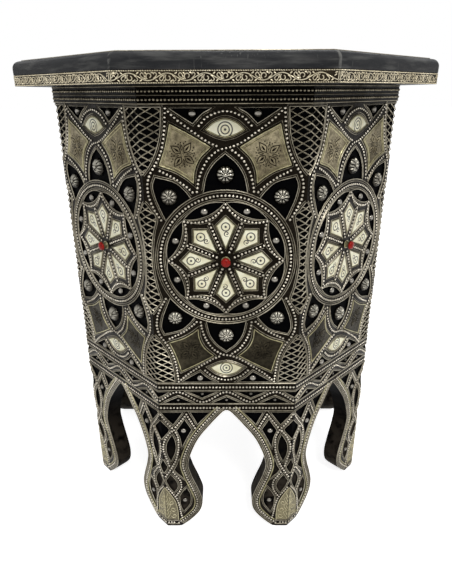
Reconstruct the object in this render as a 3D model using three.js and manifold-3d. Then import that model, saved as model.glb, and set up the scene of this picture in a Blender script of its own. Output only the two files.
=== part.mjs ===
// A low octagonal Moroccan stool table. Eight mitred side boards with cut arches carry a thick octagonal top,
// and pierced metal sheets with bone and coral inlay cover the sides and the top.
// Sizes are in millimetres, +Z is up, the floor is at zero and one side faces -Y.

import * as THREE from 'three';
import { mergeVertices } from 'three/addons/utils/BufferGeometryUtils.js';
import Module from 'manifold-3d';

const wasm = await Module();
wasm.setup();

// Driving sizes of the whole table.
const side_count = 8;
const overall_height = 547;
const top_width = 438.5;
const top_board_thickness = 23.8;
const top_overhang = 34;
const side_board_thickness = 20;
const arch_height = 181.5;
const joint_gap = 0.3;
const cutter_overrun = 4;

// Metal sheets and bands.
const strap_thickness = 1.2;
const top_sheet_thickness = 1.2;
const top_edge_round = 7.5;
const top_sheet_margin = 2;
const rim_band_height = 10.3;
const rim_band_thickness = 1.2;
const rim_band_proud = 0.8;
const crown_height = 15.8;
const crown_thickness = 2.2;
const crown_bead_radius = 1.4;
const foot_reveal = 2.5;

// Borders above the arches, from the lowest one up.
const bottom_border_height = 9.1;
const wave_band_height = 18.2;
const upper_border_height = 8.9;

// Inlay.
const coral_bead_radius = 4.6;
const coral_bead_height = 3.4;
const coral_stem_radius = 3.7;
const coral_stem_height = 6;
const eye_length = 34.6;
const eye_height = 17.5;

// Inner frames and the screws that hold the top.
const frame_rail_width = 28;
const upper_frame_height = 22;
const lower_frame_height = 18;
const lower_frame_rise = 8;
const screw_count = 4;
const screw_shank_radius = 2.2;
const screw_head_radius = 4.4;
const screw_head_height = 2.6;
const screw_bite = 14;
const screw_facets = 8;

// Levels and distances worked out from the sizes above.
const turn_step = 2 * Math.PI / side_count;
const half_turn_step = turn_step / 2;
const corner_stretch = 1 / Math.cos(half_turn_step);
const side_slope = Math.tan(half_turn_step);

const board_top = overall_height - top_sheet_thickness - joint_gap;
const board_underside = board_top - top_board_thickness;
const body_top = board_underside - joint_gap;
const body_apothem = top_width / 2 - top_overhang;
const sheet_back = body_apothem - strap_thickness;
const side_face = sheet_back - joint_gap;
const side_inner_face = side_face - side_board_thickness;
const crown_underside = body_top - crown_height;

const half_width = body_apothem * side_slope;
const wave_floor = arch_height + bottom_border_height;
const field_floor = wave_floor + wave_band_height + upper_border_height;
const field_centre = (crown_underside + field_floor) / 2;
const half_field = (crown_underside - field_floor) / 2;
const mitre_relief = joint_gap / 2 * corner_stretch;

// Outlines, as shares of the panel's half width across, and of the arch's or the half field's height up.
const arch_shares = [
  [0.052, 0.992], [0.235, 0.898], [0.45, 0.766], [0.6, 0.592], [0.567, 0.485], [0.466, 0.364],
  [0.402, 0.259], [0.437, 0.165], [0.587, 0.08], [0.795, 0],
];
const arch_steps = 12;
const leg_cell_shares = [
  [[0.652, 0.986], [0.802, 0.895], [0.939, 0.986]],
  [[0.248, 0.986], [0.404, 0.909], [0.515, 0.986]],
  [[0.6, 0.942], [0.522, 0.865], [0.574, 0.804], [0.678, 0.738], [0.691, 0.799], [0.73, 0.868]],
  [[0.806, 0.815], [0.793, 0.738], [0.801, 0.672], [0.867, 0.573], [0.924, 0.683], [0.906, 0.749]],
  [[0.737, 0.634], [0.717, 0.54], [0.658, 0.441], [0.691, 0.441], [0.815, 0.534]],
  [[0.887, 0.496], [0.802, 0.43], [0.782, 0.386], [0.86, 0.331], [0.955, 0.424]],
  [[0.626, 0.364], [0.574, 0.298], [0.574, 0.226], [0.684, 0.16], [0.711, 0.215], [0.717, 0.292]],
];
const petal_tip_share = 0.709;
const side_petal_shares = [[0.632, 0.534], [0.847, 0.563], [0.881, 0.508], [0.854, 0.417]];
const eye_corner_shares = [[0.156, 0.981], [0.378, 0.897], [0.626, 0.981]];
const upper_net_shares = [[0.743, 0.987], [0.763, 0.848], [0.815, 0.744], [0.913, 0.64], [0.978, 0.584]];
const middle_net_shares = [[0.991, 0.396], [0.926, 0.348], [0.867, 0.299], [0.893, 0.195], [0.925, 0.083]];
const eye_seat_share = 0.862;
const eye_outline_shares = [
  [0.5, 0], [0.25, 0.38], [0, 0.49], [-0.25, 0.38], [-0.5, 0], [-0.25, -0.31], [0, -0.51], [0.25, -0.31],
];
const wave_pitch_share = 0.71;
const wave_cell_shares = [[-0.22, 0.05], [0.22, 0.05], [0.05, 0.53], [-0.05, 0.53]];
const crown_row_shares = [0.22, 0.66];

// Medallions: a ring of beads holds a star of lenses round a bone rosette. The radii are shares of the
// panel's half width, and on the top of the sheet's distance from the middle to a side.
const ring_outside_share = 0.9;
const ring_inside_share = 0.782;
const rosette_share = 0.574;
const top_ring_outside_share = 0.46;
const top_ring_inside_share = 0.408;
const top_rosette_share = 0.296;

// Polar outlines inside a ring, as shares of its radius and of one side's turn.
const lens_shares = [
  [0.46, 0.985], [0.16, 1.0], [-0.16, 1.0], [-0.46, 0.985], [-0.16, 0.835], [0.16, 0.835],
];
const side_petal_foot_turn_shares = [0.68, 1.0, 1.18];
const petal_foot_turn_share = 0.36;
const petal_side_shares = [[1.05, 0.14], [0.88, 0.45], [0.52, 0.76]];
const kite_shares = [[0.03, 0.37], [0.205, 0.81], [0, 1], [-0.205, 0.81], [-0.03, 0.37]];

// Outlines on the top, as shares of the sheet's distance from the middle to a side.
const top_petal_tip_share = 0.74;
const top_net_shares = [[-0.33, 0.94], [0, 0.83], [0.33, 0.94]];

// Colours, roughness and metalness of the pieces.
const ebony_black = { color: 0x26262a, roughness: 0.42, metalness: 0 };
const raw_wood = { color: 0x6a4a30, roughness: 0.8, metalness: 0 };
const aged_metal = { color: 0x7d7766, roughness: 0.4, metalness: 0.9 };
const bright_metal = { color: 0xb0a88c, roughness: 0.35, metalness: 0.9 };
const pale_bone = { color: 0xe6e2c2, roughness: 0.5, metalness: 0 };
const coral_red = { color: 0xb3261a, roughness: 0.3, metalness: 0 };
const steel_grey = { color: 0x8c8f94, roughness: 0.4, metalness: 1 };

const table = new THREE.Group();

// Adds a geometry to a group under its piece's name.
function addPiece(parent, name, geometry, finish) {
  const mesh = new THREE.Mesh(geometry, new THREE.MeshStandardMaterial(finish));
  mesh.name = name;
  parent.add(mesh);
}

// Turns a closed geometry into a solid that can be joined and cut.
function toSolid(geometry) {
  const bare = geometry.clone();
  bare.deleteAttribute('normal');
  bare.deleteAttribute('uv');
  const merged = mergeVertices(bare);
  const corners = merged.index.array;
  const kept = [];
  for (let i = 0; i < corners.length; i += 3) {
    const [a, b, c] = corners.slice(i, i + 3);
    if (a !== b && b !== c && c !== a) kept.push(a, b, c);
  }
  const vertProperties = new Float32Array(merged.attributes.position.array);
  return new wasm.Manifold(new wasm.Mesh({ numProp: 3, vertProperties, triVerts: new Uint32Array(kept) }));
}

// Turns a solid back into a geometry.
function toGeometry(solid) {
  const mesh = solid.getMesh();
  const geometry = new THREE.BufferGeometry();
  geometry.setAttribute('position', new THREE.BufferAttribute(mesh.vertProperties, mesh.numProp));
  geometry.setIndex(new THREE.BufferAttribute(mesh.triVerts, 1));
  geometry.computeVertexNormals();
  return geometry;
}

// Extrudes an outline of [x, y] points along +Z from the level given.
function prism(points, level, depth) {
  const shape = new THREE.Shape(points.map(([x, y]) => new THREE.Vector2(x, y)));
  const geometry = new THREE.ExtrudeGeometry(shape, { depth, bevelEnabled: false });
  geometry.translate(0, 0, level);
  return geometry;
}

// A prism that runs past both faces of the sheet or board that it cuts.
function cutter(points, level, depth) {
  return toSolid(prism(points, level - cutter_overrun, depth + 2 * cutter_overrun));
}

// Cuts every outline out of a solid.
function pierce(solid, outlines, level, depth) {
  return outlines.reduce((rest, points) => rest.subtract(cutter(points, level, depth)), solid);
}

// An octagonal ring or slab from a section of [distance from the middle to a side, height] points.
function octagonalTurning(section) {
  const profile = section.map(([apothem, height]) => new THREE.Vector2(apothem * corner_stretch, height));
  const geometry = new THREE.LatheGeometry(profile, side_count, half_turn_step);
  geometry.rotateX(Math.PI / 2);
  return geometry;
}

// A rectangular section, closed on itself, for an octagonal ring.
function railSection(inner, outer, low, high) {
  return [[inner, low], [outer, low], [outer, high], [inner, high], [inner, low]];
}

const mirrored = (points) => points.map(([x, y]) => [-x, y]).reverse();
const flipped = (points) => points.map(([x, y]) => [x, -y]).reverse();
const moved = (points, dx, dy) => points.map(([x, y]) => [x + dx, y + dy]);
const scaled = (shares, width, height) => shares.map(([across, up]) => [across * width, up * height]);
const polar = (radius, angle) => [-radius * Math.sin(angle), radius * Math.cos(angle)];

// Turns an outline about the origin.
function turned(points, angle) {
  const sine = Math.sin(angle);
  const cosine = Math.cos(angle);
  return points.map(([x, y]) => [x * cosine - y * sine, x * sine + y * cosine]);
}

// One copy of an outline for each side, turned about the origin.
function allRound(points) {
  return Array.from({ length: side_count }, (_, i) => turned(points, i * turn_step));
}

// An outline grown by the same distance on every edge; its points run anticlockwise.
function grown(points, distance) {
  const count = points.length;
  const edges = points.map((point, i) => {
    const next = points[(i + 1) % count];
    const length = Math.hypot(next[0] - point[0], next[1] - point[1]);
    const along = [(next[0] - point[0]) / length, (next[1] - point[1]) / length];
    return { along, start: [point[0] + along[1] * distance, point[1] - along[0] * distance] };
  });
  return edges.map((edge, i) => {
    const last = edges[(i + count - 1) % count];
    const cross = last.along[0] * edge.along[1] - last.along[1] * edge.along[0];
    const gap = [edge.start[0] - last.start[0], edge.start[1] - last.start[1]];
    const reach = (gap[0] * edge.along[1] - gap[1] * edge.along[0]) / cross;
    return [last.start[0] + last.along[0] * reach, last.start[1] + last.along[1] * reach];
  });
}

// A regular outline round the origin.
function disc(radius, facets) {
  return Array.from({ length: facets }, (_, i) => polar(radius, i * 2 * Math.PI / facets));
}

// A round pin of flat facets along +Z.
function pin(radius, level, length) {
  return prism(disc(radius, screw_facets), level, length);
}

// Top board, its rim band and the pierced sheet that lies on it.
const board_apothem = top_width / 2;
const rebate_apothem = board_apothem + rim_band_proud - rim_band_thickness - joint_gap;
const rim_top = board_underside + rim_band_height;
const top_sheet_apothem = board_apothem - top_edge_round - top_sheet_margin;

function boardSection() {
  const edge_steps = 4;
  const rounded = Array.from({ length: edge_steps + 1 }, (_, i) => {
    const angle = i / edge_steps * Math.PI / 2;
    const inset = top_edge_round * (1 - Math.cos(angle));
    return [board_apothem - inset, board_top - top_edge_round * (1 - Math.sin(angle))];
  });
  return [
    [0, board_underside],
    [rebate_apothem, board_underside],
    [rebate_apothem, rim_top + joint_gap],
    [board_apothem, rim_top + joint_gap],
    ...rounded,
    [0, board_top],
  ];
}

// Screws stand in the middle of the upper frame's rail, on every second side.
const frame_outer = side_inner_face - joint_gap;
const frame_inner = frame_outer - frame_rail_width;
const upper_frame_underside = body_top - upper_frame_height;
const screw_circle_radius = (frame_outer + frame_inner) / 2;
const screw_turn = 2 * Math.PI / screw_count;
const screw_angles = Array.from({ length: screw_count }, (_, i) => i * screw_turn);
const screw_places = screw_angles.map((angle) => polar(screw_circle_radius, angle));

function drilled(solid, level, depth) {
  return screw_places.reduce((rest, [x, y]) => {
    const drill = pin(screw_shank_radius + joint_gap, level, depth);
    drill.translate(x, y, 0);
    return rest.subtract(toSolid(drill));
  }, solid);
}

const screw_head_top = upper_frame_underside - joint_gap;
const screw_tip = board_underside + screw_bite;
const board_solid = drilled(
  toSolid(octagonalTurning(boardSection())),
  board_underside - cutter_overrun,
  screw_bite + joint_gap + cutter_overrun,
);
addPiece(table, 'top_board', toGeometry(board_solid), ebony_black);

const rim_face = board_apothem + rim_band_proud;
const rim_section = railSection(rebate_apothem + joint_gap, rim_face, board_underside, rim_top);
addPiece(table, 'rim_band', octagonalTurning(rim_section), bright_metal);

const upper_frame_solid = drilled(
  toSolid(octagonalTurning(railSection(frame_inner, frame_outer, upper_frame_underside, body_top))),
  upper_frame_underside - cutter_overrun,
  upper_frame_height + 2 * cutter_overrun,
);
addPiece(table, 'upper_ring_frame', toGeometry(upper_frame_solid), raw_wood);

const lower_frame_underside = arch_height + lower_frame_rise;
const lower_frame_section = railSection(
  frame_inner,
  frame_outer,
  lower_frame_underside,
  lower_frame_underside + lower_frame_height,
);
addPiece(table, 'lower_ring_frame', octagonalTurning(lower_frame_section), raw_wood);

const screw_foot = screw_head_top - screw_head_height;
const screw_solid = toSolid(pin(screw_head_radius, screw_foot, screw_head_height))
  .add(toSolid(pin(screw_shank_radius, screw_foot, screw_tip - screw_foot)));
screw_places.forEach(([x, y], i) => {
  const geometry = toGeometry(screw_solid);
  geometry.translate(x, y, 0);
  addPiece(table, `top_screw_${i + 1}`, geometry, steel_grey);
});

// Crown band: a flat moulding round the head of the body with two half-round rows for its beads.
const crown_back = side_face + joint_gap;
const crown_face = crown_back + crown_thickness;
const crown_row_levels = crown_row_shares.map((share) => crown_underside + share * crown_height);

function crownSection() {
  const row_steps = 4;
  const rows = crown_row_levels.flatMap((level) => Array.from({ length: row_steps + 1 }, (_, i) => {
    const angle = (i / row_steps - 0.5) * Math.PI;
    return [crown_face + crown_bead_radius * Math.cos(angle), level + crown_bead_radius * Math.sin(angle)];
  }));
  return [
    [crown_back, crown_underside],
    [crown_face, crown_underside],
    ...rows,
    [crown_face, body_top],
    [crown_back, body_top],
    [crown_back, crown_underside],
  ];
}
addPiece(table, 'crown_band', octagonalTurning(crownSection()), aged_metal);

// Side boards: a mitred board with the arch cut up from the floor. Across is X, up is Y and outward is Z.
function archOutline() {
  const places = scaled(arch_shares, half_width, arch_height).map(([x, y]) => new THREE.Vector2(x, y));
  const spline = new THREE.SplineCurve(places);
  const half = spline.getPoints(arch_steps).map((point) => [point.x, point.y]);
  const floor = half[half.length - 1];
  const right = [[0, arch_height], ...half, [floor[0], floor[1] - cutter_overrun]];
  return [...mirrored(right).slice(0, -1), ...right].reverse();
}
const arch_outline = archOutline();
const ring_outside = ring_outside_share * half_width;
const ring_inside = ring_inside_share * half_width;
const rosette_radius = rosette_share * half_width;

function sideBoardSolid() {
  const halfAt = (apothem) => apothem * side_slope - mitre_relief;
  const section = [
    [-halfAt(side_face), -side_face],
    [halfAt(side_face), -side_face],
    [halfAt(side_inner_face), -side_inner_face],
    [-halfAt(side_inner_face), -side_inner_face],
  ];
  const board = prism(section, 0, body_top);
  board.rotateX(-Math.PI / 2);
  return toSolid(board).subtract(cutter(arch_outline, side_inner_face, side_board_thickness));
}

// Bone rosette: eight kites that join in a hub.
function rosetteOutline(radius) {
  return allRound(scaled(kite_shares, radius, radius)).flat();
}

const eye_outline = scaled(eye_outline_shares, eye_length, eye_height);

// A pointed petal that stands on a ring.
function petalOutline(foot_radius, tip_radius) {
  const foot = polar(foot_radius, -petal_foot_turn_share * turn_step);
  const rise = tip_radius - foot[1];
  const side = petal_side_shares.map(([across, up]) => [foot[0] * across, foot[1] + up * rise]);
  const right = [foot, ...side];
  return [[0, foot_radius], ...right, [0, tip_radius], ...mirrored(right)];
}

// The openings of one medallion ring: eight lenses between the ring and the star.
function lensOutlines(radius) {
  return allRound(lens_shares.map(([turn, reach]) => polar(reach * radius, (turn + 0.5) * turn_step)));
}

// The black cells of the field, drawn for its upper right quarter and mirrored.
function fieldCells() {
  const spread = (shares) => scaled(shares, half_width, half_field);
  const petal = petalOutline(ring_outside, petal_tip_share * half_field);
  const side_petal_foot = side_petal_foot_turn_shares.map((turn) => polar(ring_outside, -turn * turn_step));
  const fold = half_width + cutter_overrun;
  const upper_net = spread(upper_net_shares);
  const middle_net = spread(middle_net_shares);
  const quarter = [
    [...spread(side_petal_shares).reverse(), ...side_petal_foot],
    spread(eye_corner_shares),
    [...upper_net, [fold, upper_net[upper_net.length - 1][1]], [fold, upper_net[0][1]]],
  ];
  const middle = [
    ...middle_net,
    ...flipped(middle_net),
    [fold, -middle_net[0][1]],
    [fold, middle_net[0][1]],
  ];
  const right = [...quarter, ...quarter.map(flipped), middle];
  return [petal, flipped(petal), ...right, ...right.map(mirrored)];
}

// The cells above and below the wave, and those among the strands of the legs.
function lowerCells() {
  const cell = scaled(wave_cell_shares, half_width, wave_band_height);
  const pitch = wave_pitch_share * half_width;
  const wave_top = wave_floor + wave_band_height;
  const crests = [-1, 0, 1].map((place) => moved(cell, place * pitch, wave_floor));
  const troughs = [-0.5, 0.5].map((place) => moved(flipped(cell), place * pitch, wave_top));
  const legs = leg_cell_shares.map((shares) => scaled(shares, half_width, arch_height));
  return [...crests, ...troughs, ...legs, ...legs.map(mirrored)];
}

const sheet_range = [sheet_back, strap_thickness];
const eye_seat = eye_seat_share * half_field;

function strapworkSolid() {
  const sheet_half = sheet_back * side_slope - mitre_relief;
  const sheet_top = crown_underside - joint_gap;
  const outline = [
    [-sheet_half, foot_reveal],
    [sheet_half, foot_reveal],
    [sheet_half, sheet_top],
    [-sheet_half, sheet_top],
  ];
  const eye_hole = moved(grown(eye_outline, joint_gap), 0, eye_seat);
  const field = [
    ...fieldCells(),
    ...lensOutlines(ring_inside),
    grown(rosetteOutline(rosette_radius), joint_gap),
    eye_hole,
    flipped(eye_hole),
  ];
  const cells = [arch_outline, ...lowerCells(), ...field.map((cell) => moved(cell, 0, field_centre))];
  return pierce(toSolid(prism(outline, ...sheet_range)), cells, ...sheet_range);
}

// A domed bead on a round stem with a flat foot, along +Z from the level given.
function coralBeadGeometry(level) {
  const rings = 3;
  const facets = 12;
  const dome = Array.from({ length: rings + 1 }, (_, i) => {
    const angle = i / rings * Math.PI / 2;
    const across = i === rings ? 0 : coral_bead_radius * Math.cos(angle);
    return new THREE.Vector2(across, coral_stem_height + coral_bead_height * Math.sin(angle));
  });
  const stem = [
    new THREE.Vector2(0, 0),
    new THREE.Vector2(coral_stem_radius, 0),
    new THREE.Vector2(coral_stem_radius, coral_stem_height),
  ];
  const geometry = new THREE.LatheGeometry([...stem, ...dome], facets);
  geometry.rotateX(Math.PI / 2);
  geometry.translate(0, 0, level);
  return geometry;
}

const side_board_geometry = toGeometry(sideBoardSolid());
const strapwork_geometry = toGeometry(strapworkSolid());
const rosette_geometry = prism(moved(rosetteOutline(rosette_radius), 0, field_centre), ...sheet_range);
const upper_eye_geometry = prism(moved(eye_outline, 0, field_centre + eye_seat), ...sheet_range);
const lower_eye_outline = moved(flipped(eye_outline), 0, field_centre - eye_seat);
const lower_eye_geometry = prism(lower_eye_outline, ...sheet_range);
const coral_bead_geometry = coralBeadGeometry(body_apothem + joint_gap);
coral_bead_geometry.translate(0, field_centre, 0);

for (let side = 0; side < side_count; side += 1) {
  const turned_side = new THREE.Group();
  turned_side.rotation.z = side * turn_step;
  const upright_side = new THREE.Group();
  upright_side.rotation.x = Math.PI / 2;
  turned_side.add(upright_side);
  table.add(turned_side);
  const number = side + 1;
  addPiece(upright_side, `side_board_${number}`, side_board_geometry, ebony_black);
  addPiece(upright_side, `strapwork_${number}`, strapwork_geometry, aged_metal);
  addPiece(upright_side, `bone_rosette_${number}`, rosette_geometry, pale_bone);
  addPiece(upright_side, `upper_eye_${number}`, upper_eye_geometry, pale_bone);
  addPiece(upright_side, `lower_eye_${number}`, lower_eye_geometry, pale_bone);
  addPiece(upright_side, `coral_bead_${number}`, coral_bead_geometry, coral_red);
}

// The pierced sheet on the top, with its rosette and bead.
const top_sheet_level = board_top + joint_gap;

const top_sheet_range = [top_sheet_level, top_sheet_thickness];
const top_ring_outside = top_ring_outside_share * top_sheet_apothem;
const top_ring_inside = top_ring_inside_share * top_sheet_apothem;
const top_rosette_radius = top_rosette_share * top_sheet_apothem;

function topSheetSolid() {
  const outline = turned(disc(top_sheet_apothem * corner_stretch, side_count), half_turn_step);
  const petal = petalOutline(top_ring_outside, top_petal_tip_share * top_sheet_apothem);
  const net = scaled(top_net_shares, top_sheet_apothem, top_sheet_apothem).reverse();
  const cells = [
    ...allRound(petal),
    ...allRound(net),
    ...lensOutlines(top_ring_inside),
    grown(rosetteOutline(top_rosette_radius), joint_gap),
  ];
  return pierce(toSolid(prism(outline, ...top_sheet_range)), cells, ...top_sheet_range);
}
addPiece(table, 'top_sheet', toGeometry(topSheetSolid()), aged_metal);
addPiece(table, 'top_rosette', prism(rosetteOutline(top_rosette_radius), ...top_sheet_range), pale_bone);

export default table;
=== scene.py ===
"""Looks of a low octagonal Moroccan stool table.

Black wood carries nickel silver strapwork with wires, beads, bosses and a wire net, bone inlay and coral
beads. Plans are drawn in millimetres: across, up and outward on a side, and x, y and up on the top.
"""

from __future__ import annotations

import logging
import math
import random
from collections.abc import Callable, Iterable, Sequence
from dataclasses import dataclass, field
from enum import Enum
from functools import reduce

import bmesh
import bpy
from mathutils import Matrix, Vector


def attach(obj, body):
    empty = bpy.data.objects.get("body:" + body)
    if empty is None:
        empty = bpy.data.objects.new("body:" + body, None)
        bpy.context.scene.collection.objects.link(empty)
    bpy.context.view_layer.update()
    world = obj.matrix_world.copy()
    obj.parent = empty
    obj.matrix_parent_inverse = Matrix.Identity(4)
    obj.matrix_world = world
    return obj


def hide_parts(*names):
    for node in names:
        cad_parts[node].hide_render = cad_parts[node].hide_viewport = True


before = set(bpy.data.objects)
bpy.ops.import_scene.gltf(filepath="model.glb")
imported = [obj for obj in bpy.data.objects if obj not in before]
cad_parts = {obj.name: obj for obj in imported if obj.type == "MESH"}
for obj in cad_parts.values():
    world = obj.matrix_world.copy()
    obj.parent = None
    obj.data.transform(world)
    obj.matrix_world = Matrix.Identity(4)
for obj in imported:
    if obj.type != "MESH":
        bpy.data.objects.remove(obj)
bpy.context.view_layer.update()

Point = tuple[float, float]
Points = tuple[Point, ...]
Path = list[Point]
Row = tuple[Path, bool]
Spot = tuple[float, float, float]
Spots = tuple[Spot, ...]
Tone = tuple[int, int, int]
Values = dict[str, object]
Mesh, Socket = bpy.types.Mesh, bpy.types.NodeSocket

MM = 0.001
SIDES = 8
STEP_DEG = 360 / SIDES
HALF_TAN = math.tan(math.radians(STEP_DEG / 2))
STRETCH = 1 / math.cos(math.radians(STEP_DEG / 2))
SIDE_TURNS = [Matrix.Rotation(-math.radians(STEP_DEG * k), 4, "Z") for k in range(SIDES)]
TOP_PLACE = Matrix.Scale(MM, 4)
JOINED_WITHIN = 0.004
CUT_WITHIN = 1e-4
SHARP_DEG = 35
PATH_STEP = 1.6
MITRE_LIMIT = 2.2
MAP_SIZE = 100.0
SEED = 7

log = logging.getLogger("stool")


class Slot(Enum):
    """The material slots."""

    EBONY = "ebony_wood"
    CARCASS = "carcass_wood"
    STEEL = "screw_steel"
    RIM = "rim_metal"
    STRAP = "strap_metal"
    BONE = "bone"
    CORAL = "coral"


class Round(Enum):
    """How many flats a wire has round it, as Blender's bevel resolution."""

    FINE = 0
    PLAIN = 1
    FULL = 2


# Plan drawing.


def smooth(points: Sequence[Point], step: float = PATH_STEP) -> Path:
    """Runs a smooth open path through points.

    Args:
        points: Two or more places that the path passes.
        step: The longest stretch between two points of the path.

    Returns:
        The path, from the first point to the last.
    """
    if len(points) == 2:
        return list(points)
    places = [Vector(p) for p in points]
    places = [2 * places[0] - places[1], *places, 2 * places[-1] - places[-2]]
    path: Path = []
    for a, b, c, d in zip(places, places[1:], places[2:], places[3:]):
        count = max(1, math.ceil((c - b).length / step))
        for k in range(count):
            t = k / count
            spot = b * 2 + (c - a) * t + (a * 2 - b * 5 + c * 4 - d) * t**2 + (b * 3 - a - c * 3 + d) * t**3
            path.append((spot.x / 2, spot.y / 2))
    path.append(tuple(points[-1]))
    return path


def outline(*edges: Sequence[Point]) -> Path:
    """Joins smooth edges at sharp corners into a closed outline.

    Args:
        edges: Each edge's points; it ends where the next one starts.

    Returns:
        The outline, anticlockwise.
    """
    loop: Path = []
    for edge, after in zip(edges, [*edges[1:], edges[0]]):
        loop += smooth([*edge, after[0]])[:-1]
    return anticlockwise(loop)


def drawn(*edges: Sequence[Point]) -> Path:
    """Returns a field that holds the outline of the given edges."""
    return field(default_factory=lambda: outline(*edges))


def anticlockwise(loop: Path) -> Path:
    """Returns a closed outline in anticlockwise order."""
    area = sum(a[0] * b[1] - b[0] * a[1] for a, b in zip(loop, [*loop[1:], loop[0]]))
    return loop if area > 0 else loop[::-1]


def polar(radius: float, degrees: float) -> Point:
    """Returns the point at a radius, turned clockwise from straight up."""
    return (radius * math.sin(math.radians(degrees)), radius * math.cos(math.radians(degrees)))


def ring(radius: float, steps: int = 96) -> Path:
    """Returns an anticlockwise circle round the origin."""
    return [polar(radius, -360 * k / steps) for k in range(steps)]


def arc(start: Point, middle: Point, end: Point, steps: int = 14) -> Path:
    """Runs the circle's arc through three points.

    Args:
        start: Where the arc starts.
        middle: A point that it passes.
        end: Where it ends.
        steps: How many straight stretches it has.

    Returns:
        The arc's points.
    """
    (ax, ay), (bx, by), (cx, cy) = start, middle, end
    d = 2 * (ax * (by - cy) + bx * (cy - ay) + cx * (ay - by))
    sa, sb, sc = ax * ax + ay * ay, bx * bx + by * by, cx * cx + cy * cy
    ox = (sa * (by - cy) + sb * (cy - ay) + sc * (ay - by)) / d
    oy = (sa * (cx - bx) + sb * (ax - cx) + sc * (bx - ax)) / d
    first, last = math.atan2(ay - oy, ax - ox), math.atan2(cy - oy, cx - ox)
    sweep = (last - first + math.pi) % math.tau - math.pi
    radius = math.hypot(ax - ox, ay - oy)
    turns = [first + sweep * k / steps for k in range(steps + 1)]
    return [(ox + radius * math.cos(t), oy + radius * math.sin(t)) for t in turns]


def mirrored(path: Iterable[Point]) -> Path:
    """Returns the path on the other side of the upright axis, in reverse order."""
    return [(-x, y) for x, y in path][::-1]


def flipped(path: Iterable[Point]) -> Path:
    """Returns the path on the other side of the level axis, in reverse order."""
    return [(x, -y) for x, y in path][::-1]


def moved(path: Iterable[Point], across: float, up: float) -> Path:
    """Returns the path moved across and up."""
    return [(x + across, y + up) for x, y in path]


def turned(path: Iterable[Point], degrees: float) -> Path:
    """Returns the path turned clockwise about the origin."""
    s, c = math.sin(math.radians(degrees)), math.cos(math.radians(degrees))
    return [(x * c + y * s, y * c - x * s) for x, y in path]


def all_round(path: Path, start: float = 0) -> list[Path]:
    """Returns one copy of the path for each side, turned about the origin."""
    return [turned(path, start + k * STEP_DEG) for k in range(SIDES)]


def both(paths: Iterable[Path]) -> list[Path]:
    """Returns the paths and their mirror images."""
    kept = list(paths)
    return kept + [mirrored(p) for p in kept]


def aside(path: Path, distance: float, closed: bool = True) -> Path:
    """Moves a path sideways, to the right of its run, which is outward on an anticlockwise outline.

    Args:
        path: The path.
        distance: How far; less than nothing moves it to the left.
        closed: Whether its end joins its start.

    Returns:
        The moved path.
    """
    count = len(path)
    result: Path = []
    for i, (x, y) in enumerate(path):
        before = path[i - 1] if closed or i else path[0]
        after = path[(i + 1) % count] if closed or i + 1 < count else path[i]
        normals = []
        for a, b in ((before, (x, y)), ((x, y), after)):
            length = math.hypot(b[0] - a[0], b[1] - a[1])
            if length > 1e-9:
                normals.append(Vector(((b[1] - a[1]) / length, (a[0] - b[0]) / length)))
        across = sum(normals, Vector((0, 0))).normalized()
        reach = min(1 / max(across.dot(normals[0]), 1e-6), MITRE_LIMIT)
        result.append((x + across.x * distance * reach, y + across.y * distance * reach))
    return result


def grown(loop: Path, distance: float) -> Path:
    """Returns a closed outline moved outward, whichever way round it runs."""
    return aside(anticlockwise(loop), distance)


def spaced(path: Path, pitch: float, closed: bool = False) -> Path:
    """Sets points along a path at an even pitch that divides its length.

    Args:
        path: The path.
        pitch: The pitch wished for.
        closed: Whether its end joins its start.

    Returns:
        The points.
    """
    whole = [*path, path[0]] if closed else list(path)
    lengths = [math.dist(a, b) for a, b in zip(whole, whole[1:])]
    total = sum(lengths)
    count = max(1, round(total / pitch))
    stops = [total * k / count for k in range(count if closed else count + 1)]
    points: Path = []
    done, i = 0.0, 0
    for stop in stops:
        while i < len(lengths) - 1 and done + lengths[i] < stop:
            done += lengths[i]
            i += 1
        t = min(1.0, (stop - done) / max(lengths[i], 1e-9))
        a, b = whole[i], whole[i + 1]
        points.append((a[0] + (b[0] - a[0]) * t, a[1] + (b[1] - a[1]) * t))
    return points


def runs(path: Path, keep: Callable[[Point], bool]) -> list[Path]:
    """Splits an open path into the stretches whose points are kept.

    Args:
        path: The path.
        keep: Tells whether a point stays.

    Returns:
        The stretches of two points or more.
    """
    found: list[Path] = [[]]
    for spot in path:
        if keep(spot):
            found[-1].append(spot)
        elif found[-1]:
            found.append([])
    return [run for run in found if len(run) > 1]


def inside(point: Point, loop: Path) -> bool:
    """Tells whether a point lies in a closed outline.

    Args:
        point: The point.
        loop: The outline.

    Returns:
        Whether it does.
    """
    x, y = point
    hits = 0
    for (ax, ay), (bx, by) in zip(loop, [*loop[1:], loop[0]]):
        if (ay > y) != (by > y) and x < ax + (y - ay) / (by - ay) * (bx - ax):
            hits += 1
    return hits % 2 == 1


def lens_cells(tip: float, turn: float, outer: float, inner: float) -> list[Path]:
    """Draws the black cells between a ring and the star in it.

    Args:
        tip: How far out a cell's two tips lie.
        turn: Their turn in degrees from its middle line.
        outer: Where its middle line ends.
        inner: Where it starts.

    Returns:
        The outlines round the origin.
    """
    left, right = polar(tip, -turn), polar(tip, turn)
    cell = arc(left, polar(outer, 0), right) + arc(right, polar(inner, 0), left)[1:-1]
    return [anticlockwise(turned(cell, STEP_DEG * (k + 0.5))) for k in range(SIDES)]


def star_rows(tip: float, notch: float, spoke: Point) -> list[Path]:
    """Draws the sides and spokes of an eight-pointed star.

    Args:
        tip: How far out its points lie.
        notch: How far out the corners between them lie.
        spoke: Where a spoke starts and ends.

    Returns:
        The paths round the origin.
    """
    half = STEP_DEG / 2
    side = arc(polar(tip, 0), polar(notch, half), polar(tip, STEP_DEG))
    return all_round(side) + all_round([polar(reach, half) for reach in spoke])


# Shapes.


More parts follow.
